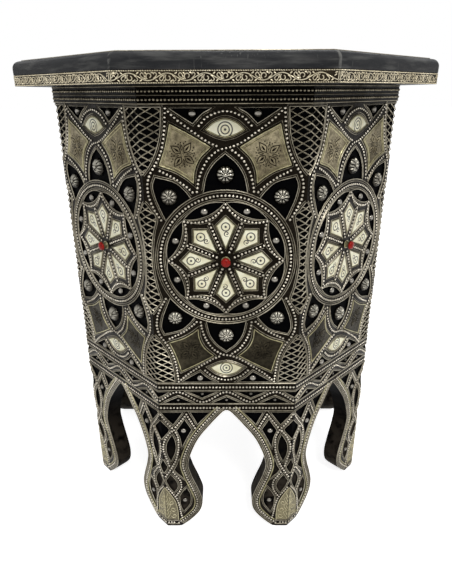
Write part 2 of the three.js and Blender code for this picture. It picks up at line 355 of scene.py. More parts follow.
class Shape:
    """A mesh that grows from drawn paths, in millimetres on its own plan."""

    def __init__(self) -> None:
        """Starts empty."""
        self.work = bmesh.new()

    def _from_curve(self, curve: bpy.types.Curve, paths: Iterable[Path], level: float, closed: bool) -> None:
        """Fills a curve with paths and adds its mesh.

        Args:
            curve: The curve, with its depth and fill set.
            paths: The paths.
            level: How far out they lie.
            closed: Whether their ends join their starts.
        """
        for path in paths:
            spline = curve.splines.new("POLY")
            spline.points.add(len(path) - 1)
            spline.points.foreach_set("co", [v for x, y in path for v in (x, y, 0, 1)])
            spline.use_cyclic_u = closed
        holder = bpy.data.objects.new("drawn", curve)
        mesh = bpy.data.meshes.new_from_object(holder)
        mesh.transform(Matrix.Translation((0, 0, level)))
        self.work.from_mesh(mesh)
        bpy.data.objects.remove(holder)
        bpy.data.meshes.remove(mesh)
        bpy.data.curves.remove(curve)

    def wires(
        self,
        paths: Iterable[Path],
        radius: float,
        level: float,
        closed: bool = True,
        flats: Round = Round.PLAIN,
    ) -> Shape:
        """Adds a round wire along each path.

        Args:
            paths: The wires' middle lines.
            radius: Their radius.
            level: How far out they lie.
            closed: Whether their ends join their starts.
            flats: How round they are.

        Returns:
            The same shape.
        """
        curve = bpy.data.curves.new("wire", "CURVE")
        curve.dimensions = "3D"
        curve.bevel_depth = radius
        curve.bevel_resolution = flats.value
        curve.use_fill_caps = not closed
        self._from_curve(curve, paths, level, closed)
        return self

    def plate(self, loops: Iterable[Path], back: float, front: float, chamfer: float) -> Shape:
        """Adds a flat plate with an outline and holes.

        Args:
            loops: The outline and its holes.
            back: The level of its back.
            front: The level of its face.
            chamfer: The chamfer of its edges.

        Returns:
            The same shape.
        """
        curve = bpy.data.curves.new("plate", "CURVE")
        curve.dimensions = "2D"
        curve.fill_mode = "BOTH"
        curve.extrude = (front - back) / 2 - chamfer
        curve.bevel_depth = chamfer
        curve.bevel_resolution = 0
        curve.offset = -chamfer
        self._from_curve(curve, loops, (front + back) / 2, True)
        return self

    def press(self, stamp: Shape, places: Iterable[Matrix]) -> Shape:
        """Adds a copy of another shape at each place.

        Args:
            stamp: The shape to copy.
            places: Where each copy goes.

        Returns:
            The same shape.
        """
        mesh = bpy.data.meshes.new("stamp")
        stamp.work.to_mesh(mesh)
        for place in places:
            copy = mesh.copy()
            copy.transform(place)
            self.work.from_mesh(copy)
            bpy.data.meshes.remove(copy)
        bpy.data.meshes.remove(mesh)
        return self

    def stand(self, stamp: Shape, spots: Iterable[Path], level: float) -> Shape:
        """Adds a copy of another shape at each spot, given as a path of one point."""
        return self.press(stamp, [Matrix.Translation((*spot[0], level)) for spot in spots])

    def dome(self, radius: float, height: float, around: int, rings: int, level: float = 0) -> Shape:
        """Adds a closed dome that stands on the plan.

        Args:
            radius: Its radius.
            height: Its height.
            around: Its points round the foot.
            rings: Its rows of faces.
            level: The level of its foot.

        Returns:
            The same shape.
        """
        fresh = bmesh.new()
        bmesh.ops.create_uvsphere(fresh, u_segments=around, v_segments=2 * rings, radius=radius)
        cut = {"plane_co": (0, 0, 0), "plane_no": (0, 0, 1), "clear_inner": True}
        bmesh.ops.bisect_plane(fresh, geom=self._parts(fresh), dist=radius * CUT_WITHIN, **cut)
        bmesh.ops.holes_fill(fresh, edges=fresh.edges, sides=around)
        bmesh.ops.scale(fresh, vec=(1, 1, height / radius), verts=fresh.verts)
        bmesh.ops.translate(fresh, vec=(0, 0, level), verts=fresh.verts)
        return self._take(fresh)

    def octagon_ring(self, section: Sequence[Point]) -> Shape:
        """Adds an octagonal ring with sides to the front and back.

        Args:
            section: Its closed section, each point a distance from the middle to a side and a height.

        Returns:
            The same shape.
        """
        fresh = bmesh.new()
        corners = [fresh.verts.new((apothem * STRETCH, 0, height)) for apothem, height in section]
        edges = [fresh.edges.new(pair) for pair in zip(corners, [*corners[1:], corners[0]])]
        bmesh.ops.rotate(fresh, verts=corners, matrix=Matrix.Rotation(math.radians(STEP_DEG / 2), 3, "Z"))
        about = {"cent": (0, 0, 0), "axis": (0, 0, 1), "angle": math.tau}
        bmesh.ops.spin(fresh, geom=[*corners, *edges], steps=SIDES, use_merge=True, **about)
        bmesh.ops.remove_doubles(fresh, verts=fresh.verts, dist=JOINED_WITHIN)
        bmesh.ops.recalc_face_normals(fresh, faces=fresh.faces)
        return self._take(fresh)

    def _parts(self, work: bmesh.types.BMesh) -> list:
        """Returns all points, edges and faces of a bmesh."""
        return work.verts[:] + work.edges[:] + work.faces[:]

    def _take(self, other: bmesh.types.BMesh) -> Shape:
        """Adds the faces of another bmesh and frees it.

        Args:
            other: The bmesh that is used up.

        Returns:
            The same shape.
        """
        mesh = bpy.data.meshes.new("part")
        other.to_mesh(mesh)
        other.free()
        self.work.from_mesh(mesh)
        bpy.data.meshes.remove(mesh)
        return self

    def shaped(self, change: Callable[[Vector], Vector]) -> Shape:
        """Moves every point by a rule.

        Args:
            change: Gives a point's new place from its old one.

        Returns:
            The same shape.
        """
        for vert in self.work.verts:
            vert.co = change(vert.co)
        return self

    def mitred(self) -> Shape:
        """Cuts a side's shape off at the folds on both sides, and closes the cuts.

        Returns:
            The same shape.
        """
        a = math.radians(STEP_DEG / 2)
        for way in (1, -1):
            normal = (way * math.cos(a), 0, -math.sin(a))
            cut = {"dist": CUT_WITHIN, "plane_co": (0, 0, 0), "plane_no": normal, "clear_outer": True}
            result = bmesh.ops.bisect_plane(self.work, geom=self._parts(self.work), **cut)
            edges = [g for g in result["geom_cut"] if isinstance(g, bmesh.types.BMEdge)]
            bmesh.ops.edgenet_fill(self.work, edges=edges)
        return self

    def welded(self) -> Shape:
        """Merges doubled points and turns all faces outwards.

        Returns:
            The same shape.
        """
        bmesh.ops.remove_doubles(self.work, verts=self.work.verts, dist=JOINED_WITHIN)
        bmesh.ops.dissolve_degenerate(self.work, edges=self.work.edges, dist=JOINED_WITHIN)
        bmesh.ops.recalc_face_normals(self.work, faces=self.work.faces)
        return self

    def mapped(self, size: float) -> Shape:
        """Lays a map on the shape that says where on its plan each corner is.

        Args:
            size: The length on the plan that fills the map.

        Returns:
            The same shape.
        """
        layer = self.work.loops.layers.uv.new("drawing")
        for face in self.work.faces:
            for loop in face.loops:
                loop[layer].uv = (loop.vert.co.x / size + 0.5, loop.vert.co.y / size + 0.5)
        return self

    def on_sides(self, name: str, finish: Finish, *nodes: str, **relief: float) -> None:
        """Sets the shape out on all sides.

        Args:
            name: The pieces' name, without the side's number.
            finish: Their finish.
            nodes: The CAD nodes that they stand for, named the same way.
            relief: What the mesh is made with.
        """
        mesh = self.mesh(name, **relief)
        for side in range(1, SIDES + 1):
            set_out(f"{name}_{side}", mesh, finish, side_place(side), [f"{node}_{side}" for node in nodes])

    def on_top(self, name: str, finish: Finish, *nodes: str, **relief: float) -> None:
        """Sets the shape out as one piece that is drawn in the room's own directions."""
        set_out(name, self.mesh(name, **relief), finish, TOP_PLACE, nodes)

    def mesh(
        self, name: str, ground: float = 0, rise: float = 1, sharp: float = SHARP_DEG, under: float = 0
    ) -> Mesh:
        """Makes the finished mesh, which keeps how far each point stands out, less painted shade where it
        faces down.

        Args:
            name: Its name.
            ground: How far out the ground's dark colour reaches, as dirt and painted shade.
            rise: How far above that metal is bright, as metal kept bright by use and painted highlight.
            sharp: The edge angle in degrees from which edges stay sharp.
            under: How much painted shade falls on what faces down.

        Returns:
            The mesh, in millimetres.
        """
        mesh = bpy.data.meshes.new(name)
        self.work.to_mesh(mesh)
        self.work.free()
        relief = mesh.attributes.new("relief", "FLOAT", "POINT")
        # Low points take dirt and painted shade, high points bright metal and painted highlight, and what
        # faces down takes painted shade.
        wear_and_light_share = [(v.co.z - ground) / rise - under * max(0.0, -v.normal.y) for v in mesh.vertices]
        relief.data.foreach_set("value", [min(1.0, max(0.0, share)) for share in wear_and_light_share])
        mesh.shade_smooth()
        mesh.set_sharp_from_angle(angle=math.radians(sharp))
        return mesh


def side_place(side: int) -> Matrix:
    """Places a side's plan in the room.

    Args:
        side: The side's number, from 1 at the front.

    Returns:
        The matrix from millimetres on the plan to metres in the room.
    """
    a = math.radians((side - 1) * STEP_DEG)
    across = Vector((math.cos(a), math.sin(a), 0)) * MM
    outward = Vector((math.sin(a), -math.cos(a), 0)) * MM
    up = Vector((0, 0, MM))
    return Matrix((across, up, outward)).transposed().to_4x4()


def placed_in_scene(name: str, data: bpy.types.ID) -> bpy.types.Object:
    """Makes an object and links it to the scene.

    Args:
        name: The object's name.
        data: What it shows.

    Returns:
        The object.
    """
    made = bpy.data.objects.new(name, data)
    bpy.context.scene.collection.objects.link(made)
    return made


def set_out(name: str, mesh: Mesh, finish: Finish, place: Matrix, nodes: Sequence[str] = ()) -> None:
    """Puts a finished mesh in the room as a piece of the stool.

    Args:
        name: The piece's name.
        mesh: Its mesh in millimetres, which is copied.
        finish: Its finish.
        place: Its place in the room.
        nodes: The CAD nodes that it stands for.
    """
    copy = mesh.copy()
    copy.transform(place)
    copy.materials.append(finish.material())
    piece = placed_in_scene(name, copy)
    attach(piece, "root")
    if nodes:
        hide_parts(*nodes)
    log.info("%s: %d faces", name, len(copy.polygons))


# Finishes.


class Graph:
    """Adds nodes to one shader tree."""

    def __init__(self, tree: bpy.types.NodeTree) -> None:
        """Empties the tree that the nodes go in, and keeps it."""
        tree.nodes.clear()
        self.tree = tree

    def add(self, kind: str, inputs: dict | None = None, **settings: object) -> bpy.types.Node:
        """Adds one node.

        Args:
            kind: Blender's name for the node.
            inputs: What goes in each socket, by name or number: a value, or a socket to link.
            settings: The node's own settings.

        Returns:
            The node.
        """
        node = self.tree.nodes.new(kind)
        for name, value in settings.items():
            setattr(node, name, value)
        for key, value in (inputs or {}).items():
            if isinstance(value, Socket):
                self.tree.links.new(value, node.inputs[key])
            else:
                node.inputs[key].default_value = value
        return node

    def group(self, name: str, values: Values, fill: Callable[[Graph, Values], Values]) -> Values:
        """Adds a node group, which is built the first time that it is asked for.

        Args:
            name: Its name.
            values: What goes in each input.
            fill: Builds its nodes from its inputs, and gives a socket for each output.

        Returns:
            Its outputs.
        """
        tree = bpy.data.node_groups.get(name)
        if not tree:
            tree = bpy.data.node_groups.new(name, "ShaderNodeTree")
            inner = Graph(tree)
            for label, value in values.items():
                plain = "NodeSocketColor" if isinstance(value, tuple) else "NodeSocketFloat"
                kind = value.bl_idname if isinstance(value, Socket) else plain
                tree.interface.new_socket(label, in_out="INPUT", socket_type=kind)
            results = fill(inner, inner.add("NodeGroupInput").outputs)
            for label, made in results.items():
                tree.interface.new_socket(label, in_out="OUTPUT", socket_type=made.bl_idname)
            inner.add("NodeGroupOutput", results)
        return self.add("ShaderNodeGroup", values, node_tree=tree).outputs

    def math(self, operation: str, *values: object) -> Socket:
        """Adds a sum or other operation and returns its result."""
        return self.add("ShaderNodeMath", dict(enumerate(values)), operation=operation).outputs[0]

    def most(self, *values: object) -> Socket:
        """Returns the greatest of some values."""
        return reduce(lambda a, b: self.math("MAXIMUM", a, b), values)

    def blend(self, share: object, a: object, b: object) -> Socket:
        """Mixes two colours by a share and returns the result."""
        return self.add("ShaderNodeMix", {0: share, 6: a, 7: b}, data_type="RGBA").outputs[2]

    def remap(self, value: object, low: float, high: float, first: float = 0, last: float = 1) -> Socket:
        """Runs a value from one range smoothly into another and returns the result."""
        inputs = {"Value": value, "From Min": low, "From Max": high, "To Min": first, "To Max": last}
        return self.add("ShaderNodeMapRange", inputs, interpolation_type="SMOOTHSTEP").outputs["Result"]

    def noise(self, place: object, scale: object, detail: float = 3) -> Socket:
        """Adds a noise and returns its value."""
        inputs = {"Vector": place, "Scale": scale, "Detail": detail}
        return self.add("ShaderNodeTexNoise", inputs).outputs["Fac"]

    def patches(self, place: Socket, scale: float, detail: float, *ranges: float) -> Socket:
        """Runs a noise into a range and returns it."""
        return self.remap(self.noise(place, scale, detail), *ranges)

    def place(self) -> Socket:
        """Returns the object's own coordinates."""
        return self.add("ShaderNodeTexCoord").outputs["Object"]

    def stretched(self, place: Socket, up: float) -> Socket:
        """Returns a place whose height is multiplied."""
        return self.add("ShaderNodeMapping", {"Vector": place, "Scale": (1.0, 1.0, up)}).outputs[0]

    def turn(self, vector: Socket, whole: float) -> Socket:
        """Returns how far a vector is turned on the plan, as a share of an angle."""
        parts = self.add("ShaderNodeSeparateXYZ", {"Vector": vector}).outputs
        return self.math("DIVIDE", self.math("ARCTAN2", parts["Y"], parts["X"]), whole)

    def bump(self, height: Socket, distance: float, strength: float) -> Socket:
        """Returns a normal that follows a height."""
        inputs = {"Height": height, "Distance": distance, "Strength": strength}
        return self.add("ShaderNodeBump", inputs).outputs["Normal"]


def linear(tone: Tone) -> tuple[float, ...]:
    """Turns a colour of 0 to 255 into the renderer's linear one."""
    return (*((c / 255 / 12.92 if c <= 10 else ((c / 255 + 0.055) / 1.055) ** 2.4) for c in tone), 1.0)


def aged_and_shaded(graph: Graph, given: Values) -> Values:
    """Ages and shades metal: dirt and painted shade in the ground, bright metal and painted highlight where
    it stands out, patches of patina.

    Args:
        graph: The group's graph.
        given: Its inputs.

    Returns:
        Its outputs.
    """
    place = given["Place"]
    patches = graph.patches(place, 28.0, 4, 0.35, 0.68)
    specks = graph.noise(place, 1100.0, 2)
    grain = graph.noise(place, 320.0, 4)
    lifted = graph.math("ADD", given["Relief"], graph.math("MULTIPLY_ADD", specks, 0.5, -0.25))
    # The ground takes dirt and painted shade, and what stands out takes painted highlight.
    lit_relief = graph.blend(graph.remap(lifted, 0.15, 0.75), given["Grime and shade"], given["Bright"])
    patina = graph.math("MULTIPLY", patches, given["Patina amount"])
    colour = graph.blend(patina, lit_relief, given["Patina"])
    blotches = graph.math("MULTIPLY", graph.remap(grain, 0.3, 0.75), given["Mottle"])
    mottled = graph.blend(blotches, colour, given["Grime and shade"])
    dulled = graph.math("MULTIPLY_ADD", patches, 0.14, 0.24)
    rough = graph.math("ADD", dulled, graph.math("MULTIPLY", grain, 0.22))
    dents = graph.math("MULTIPLY", graph.noise(place, 130.0, 2), 5.0)
    height = graph.math("ADD", graph.math("MULTIPLY_ADD", specks, 0.35, dents), grain)
    return {"Colour": mottled, "Roughness": rough, "Height": height}


def streaked(graph: Graph, given: Values) -> Values:
    """Runs faint level streaks and pores along wood.

    Args:
        graph: The group's graph.
        given: Its inputs.

    Returns:
        Its outputs.
    """
    level = graph.stretched(given["Place"], 5.0)
    streaks = graph.noise(level, given["Scale"], 5)
    pores = graph.noise(level, graph.math("MULTIPLY", given["Scale"], 9.0), 3)
    mask = graph.remap(streaks, 0.42, 0.72)
    colour = graph.blend(mask, given["Ground"], given["Streak"])
    pale = graph.blend(graph.remap(pores, 0.56, 0.8, 0.0, 0.5), colour, given["Streak"])
    return {"Colour": pale, "Mask": mask, "Height": pores}


@dataclass(frozen=True)
class Finish:
    """A finish, built as one material the first time that it is asked for."""

    name: str
    slot: Slot

    def material(self) -> bpy.types.Material:
        """Finds or builds the finish's material.

        Returns:
            The material.
        """
        found = bpy.data.materials.get(self.name)
        if found:
            return found
        made = bpy.data.materials.new(self.name)
        made.use_nodes = True
        graph = Graph(made.node_tree)
        shader = graph.add("ShaderNodeBsdfPrincipled", self.surface(graph))
        graph.add("ShaderNodeOutputMaterial", {"Surface": shader.outputs[0]})
        return made

    def surface(self, graph: Graph) -> Values:
        """Builds the nodes and returns what goes in the shader's sockets."""
        raise NotImplementedError


@dataclass(frozen=True)
class WornShadedMetal(Finish):
    """Hand-worked nickel silver with dirt and painted shade in its ground and painted highlight where it
    stands out.
    """

    bright: Tone
    grime_and_shade: Tone
    patina: Tone
    patina_amount: float
    roughening: float = 0.0
    tooling: float = 0.35
    mottle: float = 0.45

    def surface(self, graph: Graph) -> Values:
        """Builds the nodes.

        Args:
            graph: The material's graph.

        Returns:
            The shader's inputs.
        """
        values = {
            "Place": graph.place(),
            "Relief": graph.add("ShaderNodeAttribute", attribute_name="relief").outputs["Fac"],
            "Bright": linear(self.bright),
            "Grime and shade": linear(self.grime_and_shade),
            "Patina": linear(self.patina),
            "Patina amount": self.patina_amount,
            "Mottle": self.mottle,
        }
        node = graph.group("worn_shaded_metal", values, aged_and_shaded)
        return {
            "Base Color": node["Colour"],
            "Metallic": 1.0,
            "Roughness": graph.math("ADD", node["Roughness"], self.roughening),
            "Normal": graph.bump(node["Height"], 0.0002, self.tooling),
        }


@dataclass(frozen=True)
class StreakedWood(Finish):
    """Wood with level streaks, under lacquer or left plain, with painted highlight along the corners and
    painted sheen low down where asked for.
    """

    ground: Tone
    streak: Tone
    scale: float
    roughness: float
    shine: float
    wear_and_highlight: Tone | None = None
    floor_sheen: Tone | None = None

    def surface(self, graph: Graph) -> Values:
        """Builds the nodes.

        Args:
            graph: The material's graph.

        Returns:
            The shader's inputs.
        """
        place = graph.place()
        values = {"Place": place, "Scale": self.scale}
        values |= {"Ground": linear(self.ground), "Streak": linear(self.streak)}
        node = graph.group("wood_streaks", values, streaked)
        colour = node["Colour"]
        # Pale marks: wear of the lacquer and a painted highlight along the corners.
        if self.wear_and_highlight:
            colour = graph.blend(self.wear_and_light_share(graph, place), colour, linear(self.wear_and_highlight))
        # Painted sheen of the floor's light, low on the feet.
        if self.floor_sheen:
            colour = graph.blend(self.floor_sheen_share(graph, place), colour, linear(self.floor_sheen))
        return {
            "Base Color": colour,
            "Roughness": graph.math("MULTIPLY_ADD", node["Mask"], 0.16, self.roughness),
            "Coat Weight": 0.0,
            "Coat Roughness": 0.3,
            "Specular IOR Level": self.shine,
            "Normal": graph.bump(node["Height"], 0.0003, 0.3),
        }

    def wear_and_light_share(self, graph: Graph, place: Socket) -> Socket:
        """Finds the pale marks: a painted highlight and wear, broken in patches, along the upright corners,
        and wear of the lacquer in scuffs, scratches and smears.

        Args:
            graph: The material's graph.
            place: The object's coordinates.

        Returns:
            The share of the pale colour: wear and painted highlight.
        """
        turn = graph.turn(place, math.tau / SIDES)
        off_corner = graph.math("ABSOLUTE", graph.math("SUBTRACT", graph.math("FRACT", turn), 0.5))
        # The broken pale line along the corners is a painted highlight.
        corner = graph.remap(off_corner, 0.003, 0.011, 1.0, 0.0)
        broken = graph.patches(place, 190.0, 4, 0.36, 0.56)
        scuffs = graph.patches(place, 42.0, 6, 0.62, 0.78, 0.0, 0.35)
        fine = graph.patches(graph.stretched(place, 0.1), 520.0, 2, 0.6, 0.74, 0.0, 0.5)
        scratched = graph.math("MULTIPLY", fine, graph.patches(place, 16.0, 3, 0.46, 0.66))
        smears = graph.patches(graph.stretched(place, 7.0), 30.0, 7, 0.45, 0.75, 0.0, 0.5)
        return graph.most(graph.math("MULTIPLY", corner, broken), graph.most(scuffs, smears, scratched))

    def floor_sheen_share(self, graph: Graph, place: Socket) -> Socket:
        """Finds where a painted sheen of the floor's light lies: broken patches low on the feet.

        Args:
            graph: The material's graph.
            place: The object's coordinates.

        Returns:
            The share of painted sheen.
        """
        height = graph.add("ShaderNodeSeparateXYZ", {"Vector": place}).outputs["Z"]
        low = graph.remap(height, 0.05, 0.15, 0.75, 0.0)
        return graph.math("MULTIPLY", low, graph.patches(place, 90.0, 4, 0.3, 0.6))


class Engraving(Enum):
    """The figures that are cut in bone, each a ring's middle on the plan and its radii in millimetres."""

    EYE = (((0.0, 0.0), (6.4, 3.7)),)
    KITE = (((0.0, 34.4), (4.0,)),)


@dataclass(frozen=True)
class CutBone(Finish):
    """Bone with blackened engraving, read from the piece's own map."""

    rings: Engraving
    curl: Point | None = None
    curl_pitch: float = 2.4
    curl_reach: float = 2.8
    ivory: Tone = (252, 249, 222)
    shade: Tone = (224, 217, 180)
    ink: Tone = (26, 23, 20)
    line: float = 0.72
    dot: float = 1.2

    def surface(self, graph: Graph) -> Values:
        """Builds the nodes.

        Args:
            graph: The material's graph.

        Returns:
            The shader's inputs.
        """
        place = graph.place()
        cloud = graph.patches(place, 90.0, 4, 0.35, 0.75)
        fibres = graph.noise(place, 900.0, 2)
        cut = self.engraved(graph)
        height = graph.math("SUBTRACT", graph.math("MULTIPLY", fibres, 0.15), cut)
        plain = graph.blend(cloud, linear(self.ivory), linear(self.shade))
        return {
            "Base Color": graph.blend(cut, plain, linear(self.ink)),
            "Roughness": graph.math("MULTIPLY_ADD", cloud, 0.14, 0.34),
            "Subsurface Weight": 0.05,
            "Subsurface Radius": (0.0006, 0.0004, 0.0003),
            "Normal": graph.bump(height, 0.0002, 0.5),
        }

    def engraved(self, graph: Graph) -> Socket:
        """Draws the rings and the curl.

        Args:
            graph: The material's graph.

        Returns:
            The share of ink.
        """
        found = graph.add("ShaderNodeUVMap", uv_map="drawing").outputs["UV"]
        corner = (-0.5 * MAP_SIZE, -0.5 * MAP_SIZE, 0)
        laid = {"Vector": found, "Location": corner, "Scale": (MAP_SIZE,) * 3}
        plan = graph.add("ShaderNodeMapping", laid).outputs[0]
        marks = []
        for middle, radii in self.rings.value:
            away, _ = self.measured(graph, plan, middle)
            marks += [self.stroke(graph, graph.math("SUBTRACT", away, r)) for r in radii]
            marks.append(graph.remap(away, self.dot - 0.25, self.dot + 0.1, 1.0, 0.0))
        if self.curl:
            away, spot = self.measured(graph, plan, self.curl)
            wound = graph.math("DIVIDE", away, self.curl_pitch)
            wound = graph.math("FRACT", graph.math("SUBTRACT", wound, graph.turn(spot, math.tau)))
            off = graph.math("MULTIPLY", graph.math("SUBTRACT", wound, 0.5), 2.6)
            within = graph.remap(away, self.curl_reach, self.curl_reach + 0.3, 1.0, 0.0)
            marks.append(graph.math("MULTIPLY", self.stroke(graph, off), within))
        return graph.most(*marks)

    def measured(self, graph: Graph, plan: Socket, middle: Point) -> tuple[Socket, Socket]:
        """Measures from a point of the plan.

        Args:
            graph: The material's graph.
            plan: The place on the plan.
            middle: The point to measure from.

        Returns:
            The distance from it, and the vector.
        """
        spot = graph.add("ShaderNodeVectorMath", {0: plan, 1: (*middle, 0)}, operation="SUBTRACT").outputs[0]
        away = graph.add("ShaderNodeVectorMath", {0: spot}, operation="LENGTH").outputs["Value"]
        return away, spot

    def stroke(self, graph: Graph, off: Socket) -> Socket:
        """Returns the ink of a line from the distance off its middle."""
        return graph.remap(graph.math("ABSOLUTE", off), self.line * 0.5, self.line, 1.0, 0.0)


@dataclass(frozen=True)
class PolishedCoral(Finish):
    """Coral-red polished bead."""

    red: Tone = (158, 20, 9)
    deep: Tone = (112, 10, 5)

    def surface(self, graph: Graph) -> Values:
        """Builds the nodes.

        Args:
            graph: The material's graph.

        Returns:
            The shader's inputs.
        """
        veins = graph.patches(graph.place(), 420.0, 4, 0.38, 0.7)
        return {
            "Base Color": graph.blend(veins, linear(self.red), linear(self.deep)),
            "Roughness": graph.math("MULTIPLY_ADD", veins, 0.14, 0.26),
            "Specular IOR Level": 0.16,
            "Subsurface Weight": 0.05,
            "Subsurface Radius": (0.003, 0.0008, 0.0005),
        }


# The metals' ground colours hold dirt and painted shade, and their bright colours painted highlight.
STRAP = WornShadedMetal("aged_and_shaded_strap", Slot.STRAP, (40, 35, 28), (10, 8, 6), (30, 26, 20), 0.4, 0.08)
WIRE = WornShadedMetal("bright_wire", Slot.STRAP, (172, 165, 147), (26, 22, 18), (94, 86, 69), 0.5)
BEAD = WornShadedMetal("bright_bead", Slot.STRAP, (206, 199, 184), (20, 17, 13), (108, 99, 80), 0.5, -0.1, 0.2, 0.3)
BOSS = WornShadedMetal(
    "flower_boss", Slot.STRAP, (161, 157, 145), (19, 17, 14), (92, 88, 80), 0.4, -0.16, 0.05, 0.1
)
STUD = WornShadedMetal("domed_stud", Slot.STRAP, (142, 138, 130), (10, 9, 8), (84, 80, 72), 0.4, -0.18, 0.05, 0.1)
# The crown is kept dark with painted shadow from the top's overhang.
CROWN_GROUND = WornShadedMetal("shaded_band", Slot.STRAP, (19, 17, 14), (6, 5, 4), (14, 12, 10), 0.4, 0.1)
CROWN_BEAD = WornShadedMetal("shaded_bead", Slot.STRAP, (148, 140, 121), (12, 10, 8), (76, 69, 54), 0.5)
TRIM = WornShadedMetal("yellow_wire", Slot.STRAP, (170, 164, 130), (44, 39, 28), (116, 108, 78), 0.5)
PLATE = WornShadedMetal("khaki_plate", Slot.STRAP, (156, 146, 119), (36, 31, 23), (82, 74, 55), 0.8, 0.1, 0.5, 0.6)
# The upper and lower plates are lit and shaded copies of one khaki plate: the lower pair's darker colours are
# painted shade, as the light falls from above.
SHADED_LOW_PLATE = WornShadedMetal(
    "shaded_khaki_plate", Slot.STRAP, (64, 59, 47), (14, 12, 10), (28, 25, 19), 0.8, 0.14, 0.5, 0.6
)
LEAF = WornShadedMetal(
    "pale_plaque", Slot.STRAP, (198, 190, 158), (50, 44, 33), (148, 140, 108), 0.4, 0.08, 0.35, 0.3
)
RIM = WornShadedMetal("rim_silver", Slot.RIM, (212, 202, 176), (50, 44, 34), (156, 144, 112), 0.4)
RIM_GROUND = WornShadedMetal("rim_ground", Slot.RIM, (60, 53, 41), (30, 26, 20), (64, 57, 43), 0.4, 0.1)
STEEL = WornShadedMetal("turned_steel", Slot.STEEL, (176, 178, 182), (88, 88, 90), (120, 116, 108), 0.3)
# Its pale colour along the upright corners is a painted highlight as well as wear.
EBONY = StreakedWood(
    "black_lacquer", Slot.EBONY, (39, 40, 42), (62, 62, 63), 22.0, 0.46, 0.05, (104, 104, 102)
)
# Its pale colour low on the feet is a painted sheen of the floor's light.
RECESS = StreakedWood("black_ground", Slot.EBONY, (1, 1, 2), (6, 6, 6), 30.0, 0.6, 0.015, floor_sheen=(62, 56, 49))
CARCASS = StreakedWood("raw_carcass", Slot.CARCASS, (112, 80, 52), (78, 52, 32), 18.0, 0.68, 0.4)
KITE_BONE = CutBone("kite_bone", Slot.BONE, Engraving.KITE, (1.1, 27.6))
EYE_BONE = CutBone("eye_bone", Slot.BONE, Engraving.EYE)
CORAL = PolishedCoral("polished_coral", Slot.CORAL)


# Sub-assemblies.


def flower(across: float, up: float, turn: float, size: float) -> tuple[list[Path], list[list[Path]]]:
    """Draws a grooved flower of four pointed petals, with buds and dots between them.

    Args:
        across: Where its middle lies.
        up: Its height.
        turn: Its turn in degrees.
        size: Its share of the usual size.

    Returns:
        The outlines cut from the plate, and those of each petal or bud that fills a cut.
    """
    petal = outline([(0, 2.9), (-2.7, 6.4), (-2.1, 9.4)], [(0, 13), (2.1, 9.4), (2.7, 6.4)])
    leaf = outline([(0, 4.6), (-0.9, 6.6)], [(0, 10.2), (0.9, 6.6)])
    bud = outline([(0, 4.6), (-0.7, 6.6)], [(0, 9.2), (0.7, 6.6)])
    dot, dots = ring(0.62, 8), ((11.2, 45), (10.4, 31), (10.4, 59), (12.4, 22), (12.4, 68))

    def laid(path: Path, angle: float) -> Path:
        """Turns a path on the flower and lays it on the plate."""
        return moved([(x * size, y * size) for x, y in turned(anticlockwise(path), angle)], across, up)

    cuts: list[Path] = []
    fills: list[list[Path]] = []
    for k in range(4):
        slant = turn + 45 + 90 * k
        cuts.append(aside(laid(petal, slant), 0.7 * size))
        fills.append([laid(petal, slant), laid(leaf, slant)])
        cuts.append(aside(laid(bud, slant + 45), 0.5 * size))
        fills.append([laid(bud, slant + 45)])
        cuts += [laid(moved(dot, *polar(reach, slant + off)), 0) for reach, off in dots]
    return cuts, fills


